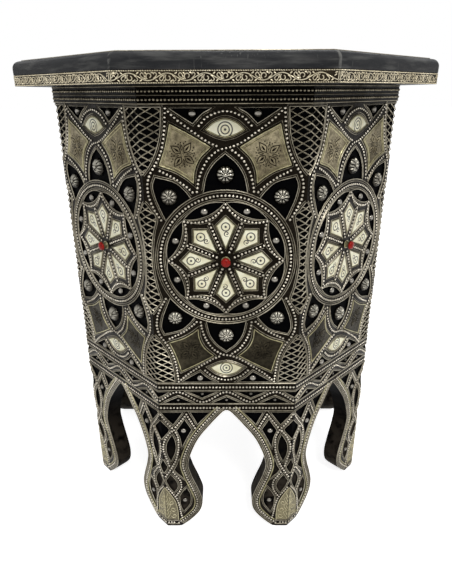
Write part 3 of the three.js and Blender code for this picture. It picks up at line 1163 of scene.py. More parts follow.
@dataclass
class Relief:
    """The wires, beads, studs and bosses that are laid on a ground."""

    wire_radius: float = 0.47
    fine_radius: float = 0.41
    fine_gap: float = 1.6
    wire_gap: float = 0.4
    bead_radius: float = 1.5
    bead_height: float = 1.5
    bead_pitch: float = 3.7
    bead_room: float = 1.8
    bead_stray: float = 0.12
    bead_spread: float = 0.08
    beads_compared: int = 900
    boss_height_share: float = 0.7
    lobes: int = 10
    cut_depth: float = 0.5
    lobe_depth: float = 0.16
    dimple_depth: float = 0.2
    dimple_place: float = 0.32
    flatness: float = 1.0

    def beads(self, rows: Iterable[Row], level: float, radius: float | None = None) -> Shape:
        """Sets beads along rows, and leaves out a bead that would stand on another.

        Args:
            rows: The rows.
            level: The ground's level.
            radius: The beads' radius, if it isn't the usual one.

        Returns:
            The beads.
        """
        size = radius or self.bead_radius
        stamp = Shape().dome(size, self.bead_height * self.flatness * size / self.bead_radius, 8, 2)
        draw, stray, spread = random.Random(SEED), self.bead_stray, self.bead_spread
        placed: Path = []
        places: list[Matrix] = []
        for path, closed in rows:
            for x, y in spaced(path, self.bead_pitch * size / self.bead_radius, closed):
                near = placed[-self.beads_compared :]
                if any(math.dist((x, y), p) < self.bead_room * size for p in near):
                    continue
                placed.append((x, y))
                spot = (x + draw.uniform(-stray, stray), y + draw.uniform(-stray, stray), level)
                share = draw.uniform(1 - spread, 1 + spread)
                turn = Matrix.Rotation(draw.uniform(0, math.tau), 4, "Z")
                places.append(Matrix.Translation(spot) @ turn @ Matrix.Diagonal((share, share, share, 1)))
        return Shape().press(stamp, places)

    def framed(self, shape: Shape, loops: Iterable[Path], level: float, closed: bool = True) -> Shape:
        """Lays a bright wire and a fine one round each outline, outside it.

        Args:
            shape: The shape that the wires go in.
            loops: The outlines.
            level: The ground's level.
            closed: Whether they are closed.

        Returns:
            The same shape.
        """
        kept = list(loops)
        near = [aside(loop, self.wire_gap, closed) for loop in kept]
        far = [aside(loop, self.wire_gap + self.fine_gap, closed) for loop in kept]
        radius, fine = self.wire_radius * self.flatness, self.fine_radius * self.flatness
        shape.wires(near, radius, level + 0.2 * radius, closed)
        return shape.wires(far, fine, level + 0.3 * fine, closed, Round.FINE)

    def stud(self, radius: float) -> Shape:
        """Returns a plain domed stud on a thin flange."""
        shape = Shape().dome(radius, 0.12 * radius * self.flatness, 16, 2)
        return shape.dome(0.95 * radius, 0.8 * radius * self.flatness, 16, 4)

    def boss(self, radius: float) -> Shape:
        """Shapes a flower boss: a lobed dome with a button on it.

        Args:
            radius: The boss's radius.

        Returns:
            The boss.
        """
        height = radius * self.boss_height_share * self.flatness

        def lobed(co: Vector) -> Vector:
            """Presses the grooves between the lobes and the dimple round the button.

            Args:
                co: A point of the dome.

            Returns:
                The point's new place.
            """
            share = math.hypot(co.x, co.y) / radius
            wave = abs(math.cos(math.atan2(co.y, co.x) * self.lobes / 2))
            cut = max(0.0, 1 - 3.6 * wave)
            depth = (self.cut_depth * cut + self.lobe_depth * (1 - wave)) * min(1.0, 2.2 * share)
            dimple = self.dimple_depth * math.exp(-(((share - self.dimple_place) / 0.08) ** 2))
            spread = 1 - 0.06 * cut * share
            return Vector((co.x * spread, co.y * spread, co.z * (1 - depth - dimple)))

        shape = Shape().dome(radius, height, 10 * self.lobes, 9).shaped(lobed)
        return shape.dome(0.24 * radius, 0.16 * radius * self.flatness, 12, 3, height * 0.9)


@dataclass
class PanelPlan:
    """The drawing of one side, symmetrical about its middle. Heights of the field are from its centre."""

    half_width: float = 76.6
    row_reach: float = 74.5
    centre: float = 361.6
    field_top: float = 505.3
    foot: float = 2.5
    arch_crown: Point = (0, 181.5)
    ring_bead: float = 64.5
    ring_lines: tuple[float, ...] = (69.4, 67.5, 61.5, 60.0)
    ring_zone: float = 5.2
    lens: tuple[float, float, float, float] = (57.6, 21.0, 59.2, 48.6)
    star: tuple[float, float, Point] = (56.2, 44.3, (9.5, 40.5))
    star_wires: Spots = ((53.2, 3.6, 42.0), (57.2, 1.6, 46.6))
    spoke_wire: Spot = (2.5, 15.0, 39.5)

    petal: Path = drawn(
        [(0, 102), (10, 93.5), (17, 82.3)],
        [(20.5, 67.2), (10, 69.4), (0, 70), (-10, 69.4)],
        [(-20.5, 67.2), (-17, 82.3), (-10, 93.5)],
    )
    side_petal: Path = drawn(
        [(64.8, 81.2), (48, 76.6), (39.3, 69.8)],
        [(33, 62), (45.5, 53.4)],
        [(57.2, 41.2), (61.8, 52.3), (65.5, 62.3), (67.4, 73.5)],
    )
    eye_corner: Path = drawn([(12.5, 141), (20.5, 136.6)], [(28.8, 128.6), (38, 134.2)], [(48.6, 141)])
    plate: Path = drawn(
        [(49.1, 127.7), (29.1, 117.2)],
        [(13.7, 108.1), (23.5, 98.4), (28.5, 87.3)],
        [(29.6, 76.1), (35.7, 81.1), (46, 87.2)],
        [(60.3, 92.2), (54, 108.6)],
    )
    eye: Path = drawn(
        [(-16.2, 123.2), (-9.6, 128.6), (0, 131.4), (9.6, 128.6)],
        [(16.2, 123.2), (8, 119.2)],
        [(0, 117.2), (-8, 119.2)],
    )
    kite: Path = drawn([(0, 43.2)], [(-8.3, 35.2)], [(0, 14)], [(8.3, 35.2)])

    upper_net: Points = ((80, 141.6), (57, 141.6), (58.5, 122.1), (62.5, 107.1), (70, 92.1), (80, 80))
    middle_net: Points = (
        (80, 58.5), (76, 57), (71, 50.1), (66.8, 43), (70.4, 28.1), (72.8, 11.9), (73.3, 0),
        (72.8, -11.9), (70.4, -28.1), (66.8, -43), (71, -50.1), (76, -57), (80, -58.5),
    )
    arch: Points = (
        (4, 180), (18, 163), (34.5, 139), (46, 107.5), (43.5, 88), (35.75, 66), (30.8, 47), (33.5, 30),
        (45, 14.5), (61, 0),
    )
    wave_pitch: float = 54.5
    wave_middle: float = 200.2
    wave_rise: float = 6.6
    wave_low: float = 191.5
    wave_high: float = 207.6
    rail_rows: Point = (213, 185.4)
    sole_row: tuple[float, float] = (60.5, 8.6)
    arch_row_inset: float = 6.6

    leg_cells: tuple[tuple[Points, ...], ...] = (
        (((50.6, 178.8), (56, 170.5)), ((62, 161.8), (69, 170.5)), ((75, 178.8),)),
        (((19.6, 178.8), (26.5, 171)), ((33.6, 162.4), (37, 170)), ((41.2, 178.8),)),
        (
            ((48.6, 169), (44.8, 162)), ((40.8, 154.6), (47, 142.5)),
            ((52.8, 129.4), (54.3, 142)), ((58, 153.6), (53, 161.6)),
        ),
        (((64, 147.4), (60.9, 138), (60.8, 124)), ((67, 107.4), (71, 120), (70.6, 134))),
        (((57, 112), (55.4, 98)), ((51.4, 80), (60, 89.5)), ((63.6, 95), (60, 102))),
        (((68.6, 87), (62.6, 77.6), (60.6, 68)), ((65.6, 58.4), (71, 68)), ((74.4, 77.4),)),
        (((49.6, 66), (45.6, 55), (46.4, 41)), ((54.6, 27.6), (58, 38)), ((58.6, 52), (54.6, 60))),
    )
    fold_cells: tuple[Points, ...] = (
        ((80, 84.5), (72, 97.2), (73.8, 104), (80, 118)),
        ((80, 136.5), (72, 146.6), (67, 154.4), (71.6, 161.4), (80, 172)),
        ((80, 197.8), (72, 202), (64.5, 206.9), (80, 206.9)),
    )
    strands: tuple[Points, ...] = (
        (
            (75.5, 176), (69.3, 165), (61.8, 155), (57.4, 145), (56.8, 132.5), (57.8, 122.5), (61, 110),
            (64.3, 102.5), (68.4, 94.5), (74.6, 84.5),
        ),
        (
            (46, 176.3), (53.6, 166), (61.8, 155), (69.3, 146), (74.3, 135), (74.9, 123.8), (72.4, 113.8),
            (68, 97), (62.4, 86.4), (57.4, 78.8), (56, 70), (58, 62), (62.4, 54.4),
        ),
        ((46, 176), (40.5, 165), (36.8, 157.5)),
        ((74.2, 67), (68.6, 58.8), (63.4, 50), (60.2, 38.8), (58.5, 25), (57, 17)),
    )
    band: Points = (
        (52.6, 141), (41.8, 131), (28, 121), (16.8, 113.5), (5.5, 108.3), (-4, 106.4), (-9, 103.6),
        (-15.8, 97.5), (-22.3, 86), (-25.4, 76), (-26.6, 68),
    )
    outer_band: Points = (
        (52.6, 141), (54.7, 119.5), (58.5, 103.5), (65, 91.6), (69.4, 84.5), (71.8, 78), (72.6, 69.8),
        (71.3, 60.8), (67.2, 50.5), (61.6, 41),
    )
    cross_band: Points = ((60.2, 87.2), (49.3, 81.6), (39.3, 75), (30.8, 67.6))
    eye_band: Points = ((-23.4, 126.6), (-14.6, 134.6), (0, 138.7), (14.6, 134.6), (23.4, 126.6))

    def arch_line(self) -> Path:
        """Returns the right half of the arch, from its crown to the floor."""
        return smooth([self.arch_crown, *self.arch], 2.4)

    def star_lines(self) -> list[Path]:
        """Draws the fine wires beside the bead rows of the star and of its spokes.

        Returns:
            The wires, round the field's centre.
        """
        half, (off, start, end) = STEP_DEG / 2, self.spoke_wire
        lines: list[Path] = []
        for tip, turn, notch in self.star_wires:
            lines += all_round(arc(polar(tip, turn), polar(notch, half), polar(tip, STEP_DEG - turn)))
        for way in (-off, off):
            lines += all_round([(way, start), (way, end)], half)
        return lines

    def off_ring(self, spot: Point) -> bool:
        """Tells whether a point lies clear of the ring."""
        return abs(math.dist(spot, (0, self.centre)) - self.ring_bead) > self.ring_zone

    def central(self, paths: Iterable[Path]) -> list[Path]:
        """Returns paths drawn round the field's centre at their height on the side."""
        return [moved(p, 0, self.centre) for p in paths]

    def quarters(self, paths: Iterable[Path]) -> list[Path]:
        """Returns paths of the upper right quarter in all four quarters, at their height on the side."""
        return self.central(both(q for p in paths for q in (p, flipped(p))))

    def uprights(self, paths: Iterable[Path]) -> list[Path]:
        """Returns paths of the upper half in both halves, at their height on the side."""
        return self.central(q for p in paths for q in (p, flipped(p)))

    def cells(self, lensed: bool = True) -> list[Path]:
        """Draws the black cells that lie within the side.

        Args:
            lensed: Whether the cells between the ring and the star are among them.

        Returns:
            The cells' outlines.
        """
        found = self.quarters([self.side_petal, self.eye_corner]) + self.uprights([self.petal])
        found += self.central(lens_cells(*self.lens)) if lensed else []
        found += both(outline(*cell) for cell in self.leg_cells)
        return [anticlockwise(p) for p in found + self.wave_cells()]

    def wave_cells(self) -> list[Path]:
        """Draws the black cells over and under the wave.

        Returns:
            The cells' outlines.
        """
        found: list[Path] = []
        sorts = ((self.wave_low, 1, 0.4, 8.4, (-1, 0, 1)), (self.wave_high, -1, 0.6, 8.6, (-0.5, 0.5)))
        for base, way, gap, tip, shifts in sorts:
            foot, shoulder = base + way * gap, base + way * 5
            left, right = [(-16, foot), (-7, shoulder)], [(0, base + way * tip), (7, shoulder)]
            cell = outline(left, right, [(16, foot)])
            found += [moved(cell, k * self.wave_pitch, 0) for k in shifts]
        return found

    def notches(self) -> list[Path]:
        """Draws the open edges of the cells that run round the fold, on the right from the lowest up.

        Returns:
            The edges, each from its lower end to its upper one.
        """
        upper = [self.upper_net[0], *smooth(self.upper_net[1:], 2)]
        middle = smooth(self.middle_net, 2)
        legs = [smooth(c, 2) for c in self.fold_cells[:2]]
        wave = [*smooth(self.fold_cells[2][:3], 2), self.fold_cells[2][3]]
        opened = [*legs, wave, *self.central([flipped(upper), middle[::-1], upper])]
        return [self.to_fold(p if p[0][1] < p[-1][1] else p[::-1]) for p in opened]

    def to_fold(self, path: Path) -> Path:
        """Ends a path where it reaches the fold.

        Args:
            path: A path that starts and ends beyond the fold.

        Returns:
            The part of the path on this side.
        """
        limit = self.half_width
        kept: Path = []
        for (ax, ay), (bx, by) in zip(path, path[1:]):
            if (ax > limit) != (bx > limit):
                kept.append((limit, ay + (by - ay) * (limit - ax) / (bx - ax)))
            if bx <= limit:
                kept.append((bx, by))
        return kept

    def sheet(self) -> Path:
        """Draws the sheet's outline, with the arch and the cells at the folds cut from it.

        Returns:
            The outline.
        """
        arch = [p for p in self.arch_line() if p[1] > self.foot]
        right = [*arch, (arch[-1][0] + 1, self.foot), (self.half_width, self.foot)]
        for notch in self.notches():
            right += notch
        right.append((self.half_width, self.field_top))
        return anticlockwise([*right, *mirrored(right[1:])])

    def bead_rows(self) -> list[Row]:
        """Draws every row of beads.

        Returns:
            The rows' paths, and whether each is closed.
        """
        edge, (start, sole) = self.row_reach, self.sole_row
        rows = self.central(star_rows(*self.star))
        rows += self.quarters(smooth(p) for p in (self.outer_band, self.band, self.cross_band))
        rows += self.uprights([smooth(self.eye_band)])
        rows += both(smooth(s) for s in self.strands)
        rows += both([aside(self.arch_line(), -self.arch_row_inset, False)[2:-2]])
        rows += [[(-edge, z), (edge, z)] for z in self.rail_rows]
        rows.append([self.wave_point(x) for x in range(-75, 76)])
        rows += [[(start, sole), (edge, sole)], [(-edge, sole), (-start, sole)]]
        return [(self.central([ring(self.ring_bead)])[0], True), *((p, False) for p in rows)]

    def wave_point(self, across: float) -> Point:
        """Returns the wave's middle line at a distance across."""
        return (across, self.wave_middle + self.wave_rise * math.cos(math.tau * across / self.wave_pitch))


@dataclass
class SidePanel:
    """Everything on one side, built once on its plan and set out eight times."""

    plan: PanelPlan = field(default_factory=PanelPlan)
    relief: Relief = field(default_factory=Relief)
    board_face: float = 183.7
    board_back: float = 163.7
    sheet_back: float = 183.9
    sheet_face: float = 185.0
    board_top: float = 521.4
    seat_gap: float = 0.35

    # Trim wires and engraved line: each a distance out from its edge, if any, and a radius.
    arch_trim: Point = (9.4, 0.9)
    seat_trim: Point = (0.3, 0.48)
    plate_trim: float = 0.65
    line_radius: float = 0.42
    line_share: float = 0.86

    # Fine wires: distances out from the plates and the bone, and the eyes' second one.
    plate_wire: float = 2.0
    bone_wire: float = 1.9
    eye_wire: float = 3.5

    # Wires along the arch (inset, radius), in the borders (height, radius, start) and over the sole.
    arch_wires: Points = ((0.6, 0.5), (2.5, 0.45), (4.3, 0.5))
    border_wires: Spots = (
        (217.7, 0.5, 0), (208.9, 0.42, 0), (190.6, 0.5, 0), (181.2, 0.5, 4.2),
    )
    sole_wires: Point = (5.6, 11.5)
    sole_start: float = 60.6
    sole_radius: float = 0.45

    net_pitch: float = 7.0
    net_width: float = 13.0
    net_radius: float = 0.58
    net_level: float = 184.8
    net_step: float = 0.3
    net_steps: int = 90
    net_spare: int = 6

    # Bosses and studs: a radius, and middles in the upper right quarter or on the right.
    upright_boss: tuple[float, Point] = (8.9, (0, 83.5))
    quarter_boss: tuple[float, Point] = (8.2, (53, 63))
    lens_stud: Point = (4.1, 53)
    corner_stud: Point = (29, 136.6)
    leg_studs: tuple[tuple[float, Point], ...] = ((3.7, (50.2, 153)), (3.3, (52.4, 46)))
    wave_stud: float = 2.0
    wave_studs: Points = ((0, 195.6), (-54.5, 195.6), (54.5, 195.6), (-27.2, 203.8), (27.2, 203.8))

    plate_rise: float = 0.6
    plate_sunk: float = 0.4
    flower_place: Point = (38.6, 101.6)
    flower_turn: float = 8
    flower_size: float = 0.95
    bone_face: float = 185.7
    bone_chamfer: float = 0.22
    eye_middle: float = 123.2
    stem_foot: float = 185.3
    stem_radius: float = 3.7
    stem_height: float = 5.8
    coral_radius: float = 4.8
    coral_height: float = 3.2

    def build(self) -> None:
        """Builds each piece and sets it out on all sides."""
        self.board()
        self.trim()
        self.sheet()
        self.wirework()
        self.net()
        self.beading()
        self.bosses()
        self.studs()
        self.plates("upper_plates", PLATE, 1)
        self.plates("lower_plates", SHADED_LOW_PLATE, -1)
        self.plaques()
        self.kites()
        self.eyes()
        self.collar()
        self.coral()

    def board(self) -> None:
        """Builds the side board, with its arch smooth and its edges eased."""
        half = self.board_face * HALF_TAN + 2
        right = [*self.plan.arch_line(), (half, 0), (half, self.board_top)]
        loop = anticlockwise([*right, *mirrored(right[1:])])
        shape = Shape().plate([loop], self.board_back, self.board_face, 0.6).welded()
        shape.mitred().welded().on_sides("carved_side", RECESS, "side_board", sharp=28)

    def sheet(self) -> None:
        """Builds the pierced sheet."""
        loops = [self.plan.sheet(), *self.plan.cells(), *self.seats()]
        shape = Shape().plate(loops, self.sheet_back, self.sheet_face, 0.15).welded()
        relief = {"ground": self.sheet_face - 0.6, "rise": 1.6}
        shape.mitred().welded().on_sides("pierced_sheet", STRAP, "strapwork", **relief)

    def seats(self) -> list[Path]:
        """Returns the openings that the bone lies in, with a dark gap round it."""
        bone = self.plan.uprights([self.plan.eye]) + self.plan.central(all_round(self.plan.kite))
        return [grown(b, self.seat_gap) for b in bone]

    def trim(self) -> None:
        """Builds the yellowish wires along the arch and round each plate, kite and eye."""
        plan, level = self.plan, self.sheet_face
        (inset, arch_radius), (gap, seat_radius) = self.arch_trim, self.seat_trim
        line = [p for p in aside(plan.arch_line(), -inset, False) if p[0] > 9 and p[1] > 12]
        shape = Shape().wires(both([line]), arch_radius, level + 0.2, closed=False)
        shape.wires([aside(s, gap) for s in self.seats()], seat_radius, level + 0.2)
        shape.wires([anticlockwise(p) for p in plan.quarters([plan.plate])], self.plate_trim, level + 0.45)
        shape.wires(self.plate_lines(), self.line_radius, level + self.plate_rise, flats=Round.FINE)
        shape.on_sides("trim", TRIM, ground=level - 0.4, sharp=60, under=0.4)

    def plate_lines(self) -> list[Path]:
        """Draws the line that follows each upper plate's edge on its inside.

        Returns:
            The two lines.
        """
        plan, share, (across, up) = self.plan, self.line_share, self.flower_place
        inner = [(across + (x - across) * share, up + (y - up) * share) for x, y in plan.plate]
        return [anticlockwise(p) for p in plan.quarters([inner]) if p[0][1] > plan.centre]

    def wirework(self) -> None:
        """Builds the pairs of wires round the cells and the ring, along the arch and in the borders."""
        plan, relief, level = self.plan, self.relief, self.sheet_face
        limit, fine = plan.half_width - 0.4, relief.fine_radius
        near = [aside(c, relief.wire_gap) for c in plan.cells()]
        shape = Shape().wires(near, relief.wire_radius, level + 0.1)
        far = [aside(c, relief.wire_gap + relief.fine_gap) for c in plan.cells(lensed=False)]
        far += [grown(p, self.plate_wire) for p in plan.quarters([plan.plate])]
        bone = plan.central(anticlockwise(p) for p in (plan.eye, flipped(plan.eye), *all_round(plan.kite)))
        far += [aside(p, self.bone_wire) for p in bone] + [aside(p, self.eye_wire) for p in bone[:2]]
        parts = [run for loop in far for run in runs([*loop, loop[0]], plan.off_ring)]
        parts += plan.central(plan.star_lines())
        shape.wires(parts, fine, level + 0.12, closed=False, flats=Round.FINE)
        shape.wires(plan.central(ring(r) for r in plan.ring_lines), fine, level + 0.15, flats=Round.FINE)
        relief.framed(shape, both(n[::-1] for n in plan.notches()), level, closed=False)
        arch = [p for p in plan.arch_line() if p[1] > plan.foot + 1]
        for inset, radius in self.arch_wires:
            line = [p for p in aside(arch, -inset, False) if p[0] > 0.5 or inset < 1]
            shape.wires(both([line]), radius, level + 0.15, closed=False)
        for height, radius, start in self.border_wires:
            shape.wires(both([[(start, height), (limit, height)]]), radius, level + 0.2, closed=False)
        soles = [[(self.sole_start, height), (limit, height)] for height in self.sole_wires]
        shape.wires(both(soles), self.sole_radius, level + 0.15, closed=False)
        shape.on_sides("wirework", WIRE, ground=level - 0.15, rise=0.6, sharp=60, under=0.5)

    def net(self) -> None:
        """Builds the net of crossing wires in the cells at the folds."""
        limit, pitch = self.plan.half_width, self.net_pitch
        slope = pitch / self.net_width
        across = [i * self.net_step for i in range(self.net_steps)]
        found: list[Path] = []
        for notch in self.plan.notches()[3:]:
            cell = [*notch, (limit + 5, notch[-1][1]), (limit + 5, notch[0][1])]
            low, high = min(p[1] for p in cell), max(p[1] for p in cell)
            base = math.floor(low / pitch) * pitch
            for k in range(-self.net_spare, math.ceil((high - low) / pitch) + self.net_spare):
                for way in (1, -1):
                    line = [(limit - x, base + k * pitch + way * x * slope) for x in across]
                    kept = [spot for spot in line if inside(spot, cell)]
                    if len(kept) > 4:
                        found.append([kept[0], kept[-1]])
        shape = Shape().wires(both(found), self.net_radius, self.net_level, closed=False, flats=Round.FINE)
        shape.on_sides("net", WIRE, ground=self.net_level - 0.5, rise=0.6, sharp=60, under=0.3)

    def beading(self) -> None:
        """Builds the beads of all bands."""
        shape = self.relief.beads(self.plan.bead_rows(), self.sheet_face)
        shape.on_sides("beading", BEAD, ground=self.sheet_face + 0.15, sharp=180, under=0.8)

    def bosses(self) -> None:
        """Builds the flower bosses."""
        plan, ground, shape = self.plan, self.board_face, Shape()
        for (radius, spot), lay in ((self.upright_boss, plan.uprights), (self.quarter_boss, plan.quarters)):
            shape.stand(self.relief.boss(radius), lay([[spot]]), ground)
        shape.on_sides("bosses", BOSS, ground=ground + 0.4, rise=6.4, sharp=180, under=2.0)

    def studs(self) -> None:
        """Builds the plain studs."""
        plan, ground, shape = self.plan, self.board_face + 0.5, Shape()
        radius, away = self.lens_stud
        lens = plan.central([polar(away, STEP_DEG * (k + 0.5))] for k in range(SIDES))
        groups = [(radius, lens + plan.quarters([[self.corner_stud]]))]
        groups += [(size, both([[spot]])) for size, spot in self.leg_studs]
        groups.append((self.wave_stud, [[spot] for spot in self.wave_studs]))
        for size, spots in groups:
            shape.stand(self.relief.stud(size), spots, ground)
        shape.on_sides("studs", STUD, ground=ground - 0.4, rise=4.0, sharp=180, under=1.4)

    def plates(self, name: str, finish: Finish, up: int) -> None:
        """Presses the upper or the lower pair of khaki plates, with their grooved flowers.

        Args:
            name: The pair's name.
            finish: Its finish.
            up: 1 for the upper pair and -1 for the lower one.
        """
        plan, level, back = self.plan, self.sheet_face, self.sheet_face - self.plate_sunk
        face = level + self.plate_rise
        cuts, petals = flower(*self.flower_place, self.flower_turn, self.flower_size)
        one = Shape().plate([grown(plan.plate, -0.3), *cuts], back, face, 0.12)
        for petal in petals:
            one.plate(petal, back, face + 0.4, 0.3)
        one.stand(Shape().dome(1.1, 0.8, 12, 3), [[self.flower_place]], face)
        lift = Matrix.Translation((0, plan.centre, 0))
        shape = Shape().press(one, [lift @ Matrix.Diagonal((way, up, 1, 1)) for way in (1, -1)])
        shape.welded().on_sides(name, finish, ground=level - 0.2, rise=1.3, sharp=40, under=0.3)

    def plaques(self) -> None:
        """Builds the pale leaf plaques at the folds of the feet, with their scrolls."""
        limit, level = self.plan.half_width - 0.1, self.sheet_face
        edge = smooth([(limit, 66), (70, 55), (64.5, 42.5), (62.2, 27.5), (62.2, 13.2)])
        face = level + 0.3
        curls = [self.curl(67.2, 19.6, 3.6, 1), self.curl(68, 30.4, 3.8, -1), self.curl(69.8, 41.6, 3.4, 1)]
        long_stroke = [(75.8, 0), (73.4, 4), (71.2, 9), (72.6, 11.4)]
        short_stroke = [(75.9, 0), (74.6, 3.4), (73.2, 8)]
        curls += [smooth(moved(long_stroke, 0, z)) for z in (16, 27.5, 38.5)]
        curls += [smooth(moved(short_stroke, 0, z)) for z in (20.5, 32, 43, 50)]
        shape = Shape()
        for way in (list, mirrored):
            shape.plate([anticlockwise(way([*edge, (limit, 13.2)]))], level - 0.4, face, 0.1)
        shape.welded().wires(both(curls), 0.5, face, closed=False, flats=Round.FINE)
        shape.wires(both([aside(edge, 0.1, False)]), 0.5, face, closed=False)
        shape.on_sides("leaf_plaques", LEAF, ground=face - 0.2, rise=0.6, sharp=40)

    def curl(self, across: float, up: float, radius: float, way: int) -> Path:
        """Draws a curl that winds inward.

        Args:
            across: Where its middle lies.
            up: Its height.
            radius: Its outer radius.
            way: 1 winds one way and -1 the other.

        Returns:
            The curl's path.
        """
        turns = [k / 22 for k in range(23)]
        spots = [polar(radius * (1 - 0.7 * t), way * (90 + 400 * t)) for t in turns]
        return moved(spots, across, up)

    def kites(self) -> None:
        """Builds the eight bone kites of the star."""
        lift = Matrix.Translation((0, self.plan.centre, 0))
        kites = self.cut_bone(self.plan.kite, [lift @ turn for turn in SIDE_TURNS])
        kites.on_sides("kites", KITE_BONE, "bone_rosette")

    def eyes(self) -> None:
        """Builds the two bone eyes."""
        middle, centre = self.eye_middle, self.plan.centre
        lift = Matrix.Translation((0, centre + middle, 0))
        drop = Matrix.Translation((0, centre - middle, 0)) @ Matrix.Rotation(math.pi, 4, "Z")
        eyes = self.cut_bone(moved(self.plan.eye, 0, -middle), [lift, drop])
        eyes.on_sides("eyes", EYE_BONE, "upper_eye", "lower_eye")

    def cut_bone(self, loop: Path, places: list[Matrix]) -> Shape:
        """Cuts mapped plates of bone.

        Args:
            loop: A plate's outline.
            places: Where each plate goes.

        Returns:
            The plates.
        """
        bone = Shape().plate([anticlockwise(loop)], self.board_face, self.bone_face, self.bone_chamfer)
        return Shape().press(bone.welded().mapped(MAP_SIZE), places)

    def collar(self) -> None:
        """Builds the waisted collar that carries the coral."""
        level, tall, wide = self.stem_foot, self.stem_height, self.stem_radius
        stem = Shape().dome(wide, tall, 24, 6).shaped(self.turned_stem)
        for out, radius, height in ((0.3, 0.45, 0.6), (0.1, 0.4, tall - 0.3)):
            stem.wires([ring(wide + out, 32)], radius, height, flats=Round.FULL)
        stem.shaped(lambda co: co + Vector((0, self.plan.centre, level)))
        stem.on_sides("collar", TRIM, ground=level, sharp=50)

    def turned_stem(self, spot: Vector) -> Vector:
        """Turns a dome's point into one of an upright waisted stem.

        Args:
            spot: The dome's point.

        Returns:
            The stem's point.
        """
        rise, away = spot.z / self.stem_height, math.hypot(spot.x, spot.y)
        side = self.stem_radius * (1 - 0.14 * math.sin(math.pi * min(1.0, rise)))
        wider = side / away if away > 0.4 * self.stem_radius else 1.0
        return Vector((spot.x * wider, spot.y * wider, self.stem_height * min(1.0, 1.12 * rise)))

    def coral(self) -> None:
        """Builds the coral bead, a cabochon that bulges over its collar."""
        foot = Vector((0, self.plan.centre, self.stem_foot + self.stem_height))
        shape = Shape().dome(self.coral_radius, self.coral_height, 32, 8).shaped(self.cabochon)
        shape.shaped(lambda co: co + foot).on_sides("coral", CORAL, "coral_bead", sharp=60)

    def cabochon(self, spot: Vector) -> Vector:
        """Turns a dome's point into one of a hand-cut stone: full shoulders, slightly out of round.

        Args:
            spot: The dome's point.

        Returns:
            The stone's point.
        """
        turn, tall = math.atan2(spot.y, spot.x), self.coral_height
        wide = 0.97 + 0.02 * math.cos(2 * turn + 0.6) + 0.01 * math.cos(3 * turn)
        return Vector((spot.x * wide, spot.y * wide, tall * (spot.z / tall) ** 0.75))


@dataclass
class Band:
    """A band round the stool, on a plain octagonal base that is dark all over with dirt and painted shade:
    its ground lies above it.
    """

    back: float
    face: float
    low: float
    high: float
    # A ground this high leaves the whole base in the colour of dirt and painted shade.
    ground: float = field(default=1e4, init=False)

    def base(self, name: str, finish: Finish, node: str) -> None:
        """Builds the plain base.

        Args:
            name: The piece's name.
            finish: Its finish.
            node: The CAD node that it stands for.
        """
        low, high = self.low, self.high
        section = [(self.back, low), (self.face, low), (self.face, high), (self.back, high)]
        Shape().octagon_ring(section).on_top(name, finish, node, ground=self.ground)


@dataclass
class CrownBand(Band):
    """The band round the head of the body: a base, three wires and two rows of beads."""

    back: float = 184.0
    face: float = 185.9
    low: float = 505.6
    high: float = 521.4
    rows: Point = (509.7, 516.6)
    wires: tuple[float, ...] = (506.3, 513.2, 520.3)
    wire_radius: float = 0.55
    bead: float = 1.45
    bead_pitch: float = 3.45

    def build(self) -> None:
        """Builds the band in one piece, and the wires and beads of each side."""
        self.base("crown_base", CROWN_GROUND, "crown_band")
        level = self.face + 0.1
        reach = level * HALF_TAN
        side = Shape()
        for height in self.wires:
            side.wires([[(-reach, height), (reach, height)]], self.wire_radius, level, closed=False)
        rows = [([(-reach + 1.6, z), (reach - 1.6, z)], False) for z in self.rows]
        beads = Relief(bead_pitch=self.bead_pitch).beads(rows, self.face, self.bead)
        parts = {
            "crown_wires": side.mesh("crown_wires", self.face - 0.1, 0.7, 60, under=0.5),
            "crown_beads": beads.mesh("crown_beads", level, 1.1, 180, under=0.6),
        }
        for number in range(1, SIDES + 1):
            for name, mesh in parts.items():
                set_out(f"{name}_{number}", mesh, CROWN_BEAD, side_place(number))


